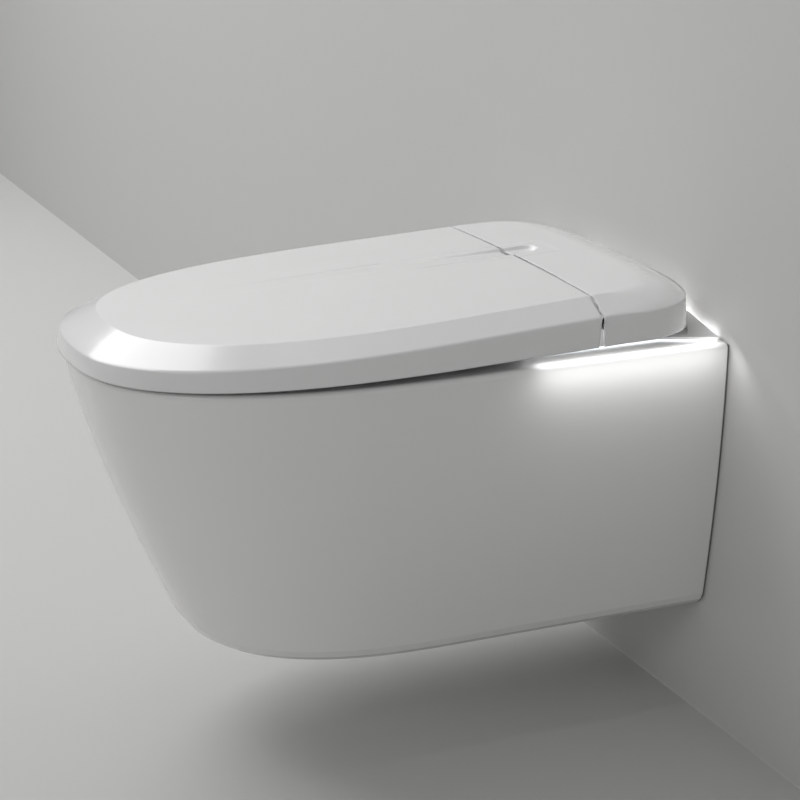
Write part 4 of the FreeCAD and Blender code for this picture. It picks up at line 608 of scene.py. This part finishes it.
FLOOR_LEVEL = -0.302
STAGE_HALF = 4.0
WALL_FACE = 0.0001
TOUCH_GAP = 0.0004
HATCH_LOW = -0.176
HATCH_HIGH = 0.082
HATCH_HALF = 0.176
HATCH_LEAN = 0.108


def stage_surface(name, colour):
    """A dull finish that is clear from behind and to light that starts right at it."""
    material = bpy.data.materials.new(name)
    material.use_nodes = True
    nodes = material.node_tree.nodes
    links = material.node_tree.links
    shader = nodes["Principled BSDF"]
    shader.inputs["Base Color"].default_value = (*colour, 1)
    shader.inputs["Roughness"].default_value = 0.8
    clear = nodes.new("ShaderNodeBsdfTransparent")
    side = nodes.new("ShaderNodeNewGeometry")
    path = nodes.new("ShaderNodeLightPath")
    near = nodes.new("ShaderNodeMath")
    near.operation = "LESS_THAN"
    near.inputs[1].default_value = TOUCH_GAP
    links.new(path.outputs["Ray Length"], near.inputs[0])
    unseen = nodes.new("ShaderNodeMath")
    unseen.operation = "MAXIMUM"
    links.new(side.outputs["Backfacing"], unseen.inputs[0])
    links.new(near.outputs["Value"], unseen.inputs[1])
    choice = nodes.new("ShaderNodeMixShader")
    links.new(unseen.outputs["Value"], choice.inputs["Fac"])
    links.new(shader.outputs["BSDF"], choice.inputs[1])
    links.new(clear.outputs["BSDF"], choice.inputs[2])
    links.new(choice.outputs["Shader"], nodes["Material Output"].inputs["Surface"])
    return material


bpy.ops.object.select_all(action="DESELECT")
bpy.ops.mesh.primitive_plane_add(size=2 * STAGE_HALF, location=(0, WALL_FACE - STAGE_HALF, FLOOR_LEVEL))
floor = bpy.context.object
floor.name = "floor"
bpy.ops.object.transform_apply(location=True)
floor.data.materials.append(stage_surface("pale_floor", (0.56, 0.56, 0.55)))
bpy.ops.mesh.primitive_plane_add(size=2 * STAGE_HALF, rotation=(math.pi / 2, 0, 0),
                                 location=(0, WALL_FACE, FLOOR_LEVEL + STAGE_HALF))
wall = bpy.context.object
wall.name = "wall"
bpy.ops.object.transform_apply(location=True, rotation=True)
bpy.ops.object.mode_set(mode="EDIT")
hatch_cuts = [((0, 0, HATCH_LOW), (0, 0, 1)), ((0, 0, HATCH_HIGH), (0, 0, 1))]
hatch_cuts += [((side * HATCH_HALF, 0, HATCH_HIGH), (side, 0, -HATCH_LEAN)) for side in (-1, 1)]
for place, across in hatch_cuts:
    bpy.ops.mesh.select_all(action="SELECT")
    bpy.ops.mesh.bisect(plane_co=place, plane_no=across)
bpy.ops.object.mode_set(mode="OBJECT")
for face in wall.data.polygons:
    face.select = abs(face.center.x) < HATCH_HALF and HATCH_LOW < face.center.z < HATCH_HIGH
bpy.ops.object.mode_set(mode="EDIT")
bpy.ops.mesh.select_mode(type="FACE")
bpy.ops.mesh.delete(type="FACE")
bpy.ops.object.mode_set(mode="OBJECT")
wall.data.materials.append(stage_surface("pale_wall", (0.60, 0.60, 0.59)))

# Studio light
# A wide soft box high on the left, a weak one beside the camera, one behind the wall for views from there,
# and an even pale surround.

soft_box("left_box", place=(-2.0, -1.2, 2.5), target=(0, -0.3, 0.1), width=3.0, height=2.2, power=80)
soft_box("camera_box", place=(1.6, -2.4, 1.3), target=(0, -0.3, 0), width=1.2, height=1.2, power=9)
soft_box("rear_box", place=(-0.8, 2.6, 1.4), target=(0, 0, 0), width=2.0, height=2.0, power=45)
world = bpy.data.worlds.new("surround")
bpy.context.scene.world = world
world.use_nodes = True
world.node_tree.nodes["Background"].inputs["Color"].default_value = (1, 1, 1, 1)
world.node_tree.nodes["Background"].inputs["Strength"].default_value = 0.3

# Camera
# Long lens from the right of the bowl's front, a little above it.

FOCAL_PIXELS = 2257.4
FRAME_PIXELS = 800
CAMERA_PLACE = (1.9433, -1.1090, 0.6864)
CAMERA_ELEVATION = math.radians(17.58)
CAMERA_AZIMUTH = math.radians(66.40)

lens = bpy.data.cameras.new("camera")
lens.sensor_width = 36
lens.lens = FOCAL_PIXELS / FRAME_PIXELS * lens.sensor_width
camera = bpy.data.objects.new("camera", lens)
bpy.context.scene.collection.objects.link(camera)
camera.location = CAMERA_PLACE
camera.rotation_euler = (math.pi / 2 - CAMERA_ELEVATION, 0, CAMERA_AZIMUTH)
bpy.context.scene.camera = camera
bpy.context.scene.view_settings.view_transform = "Standard"
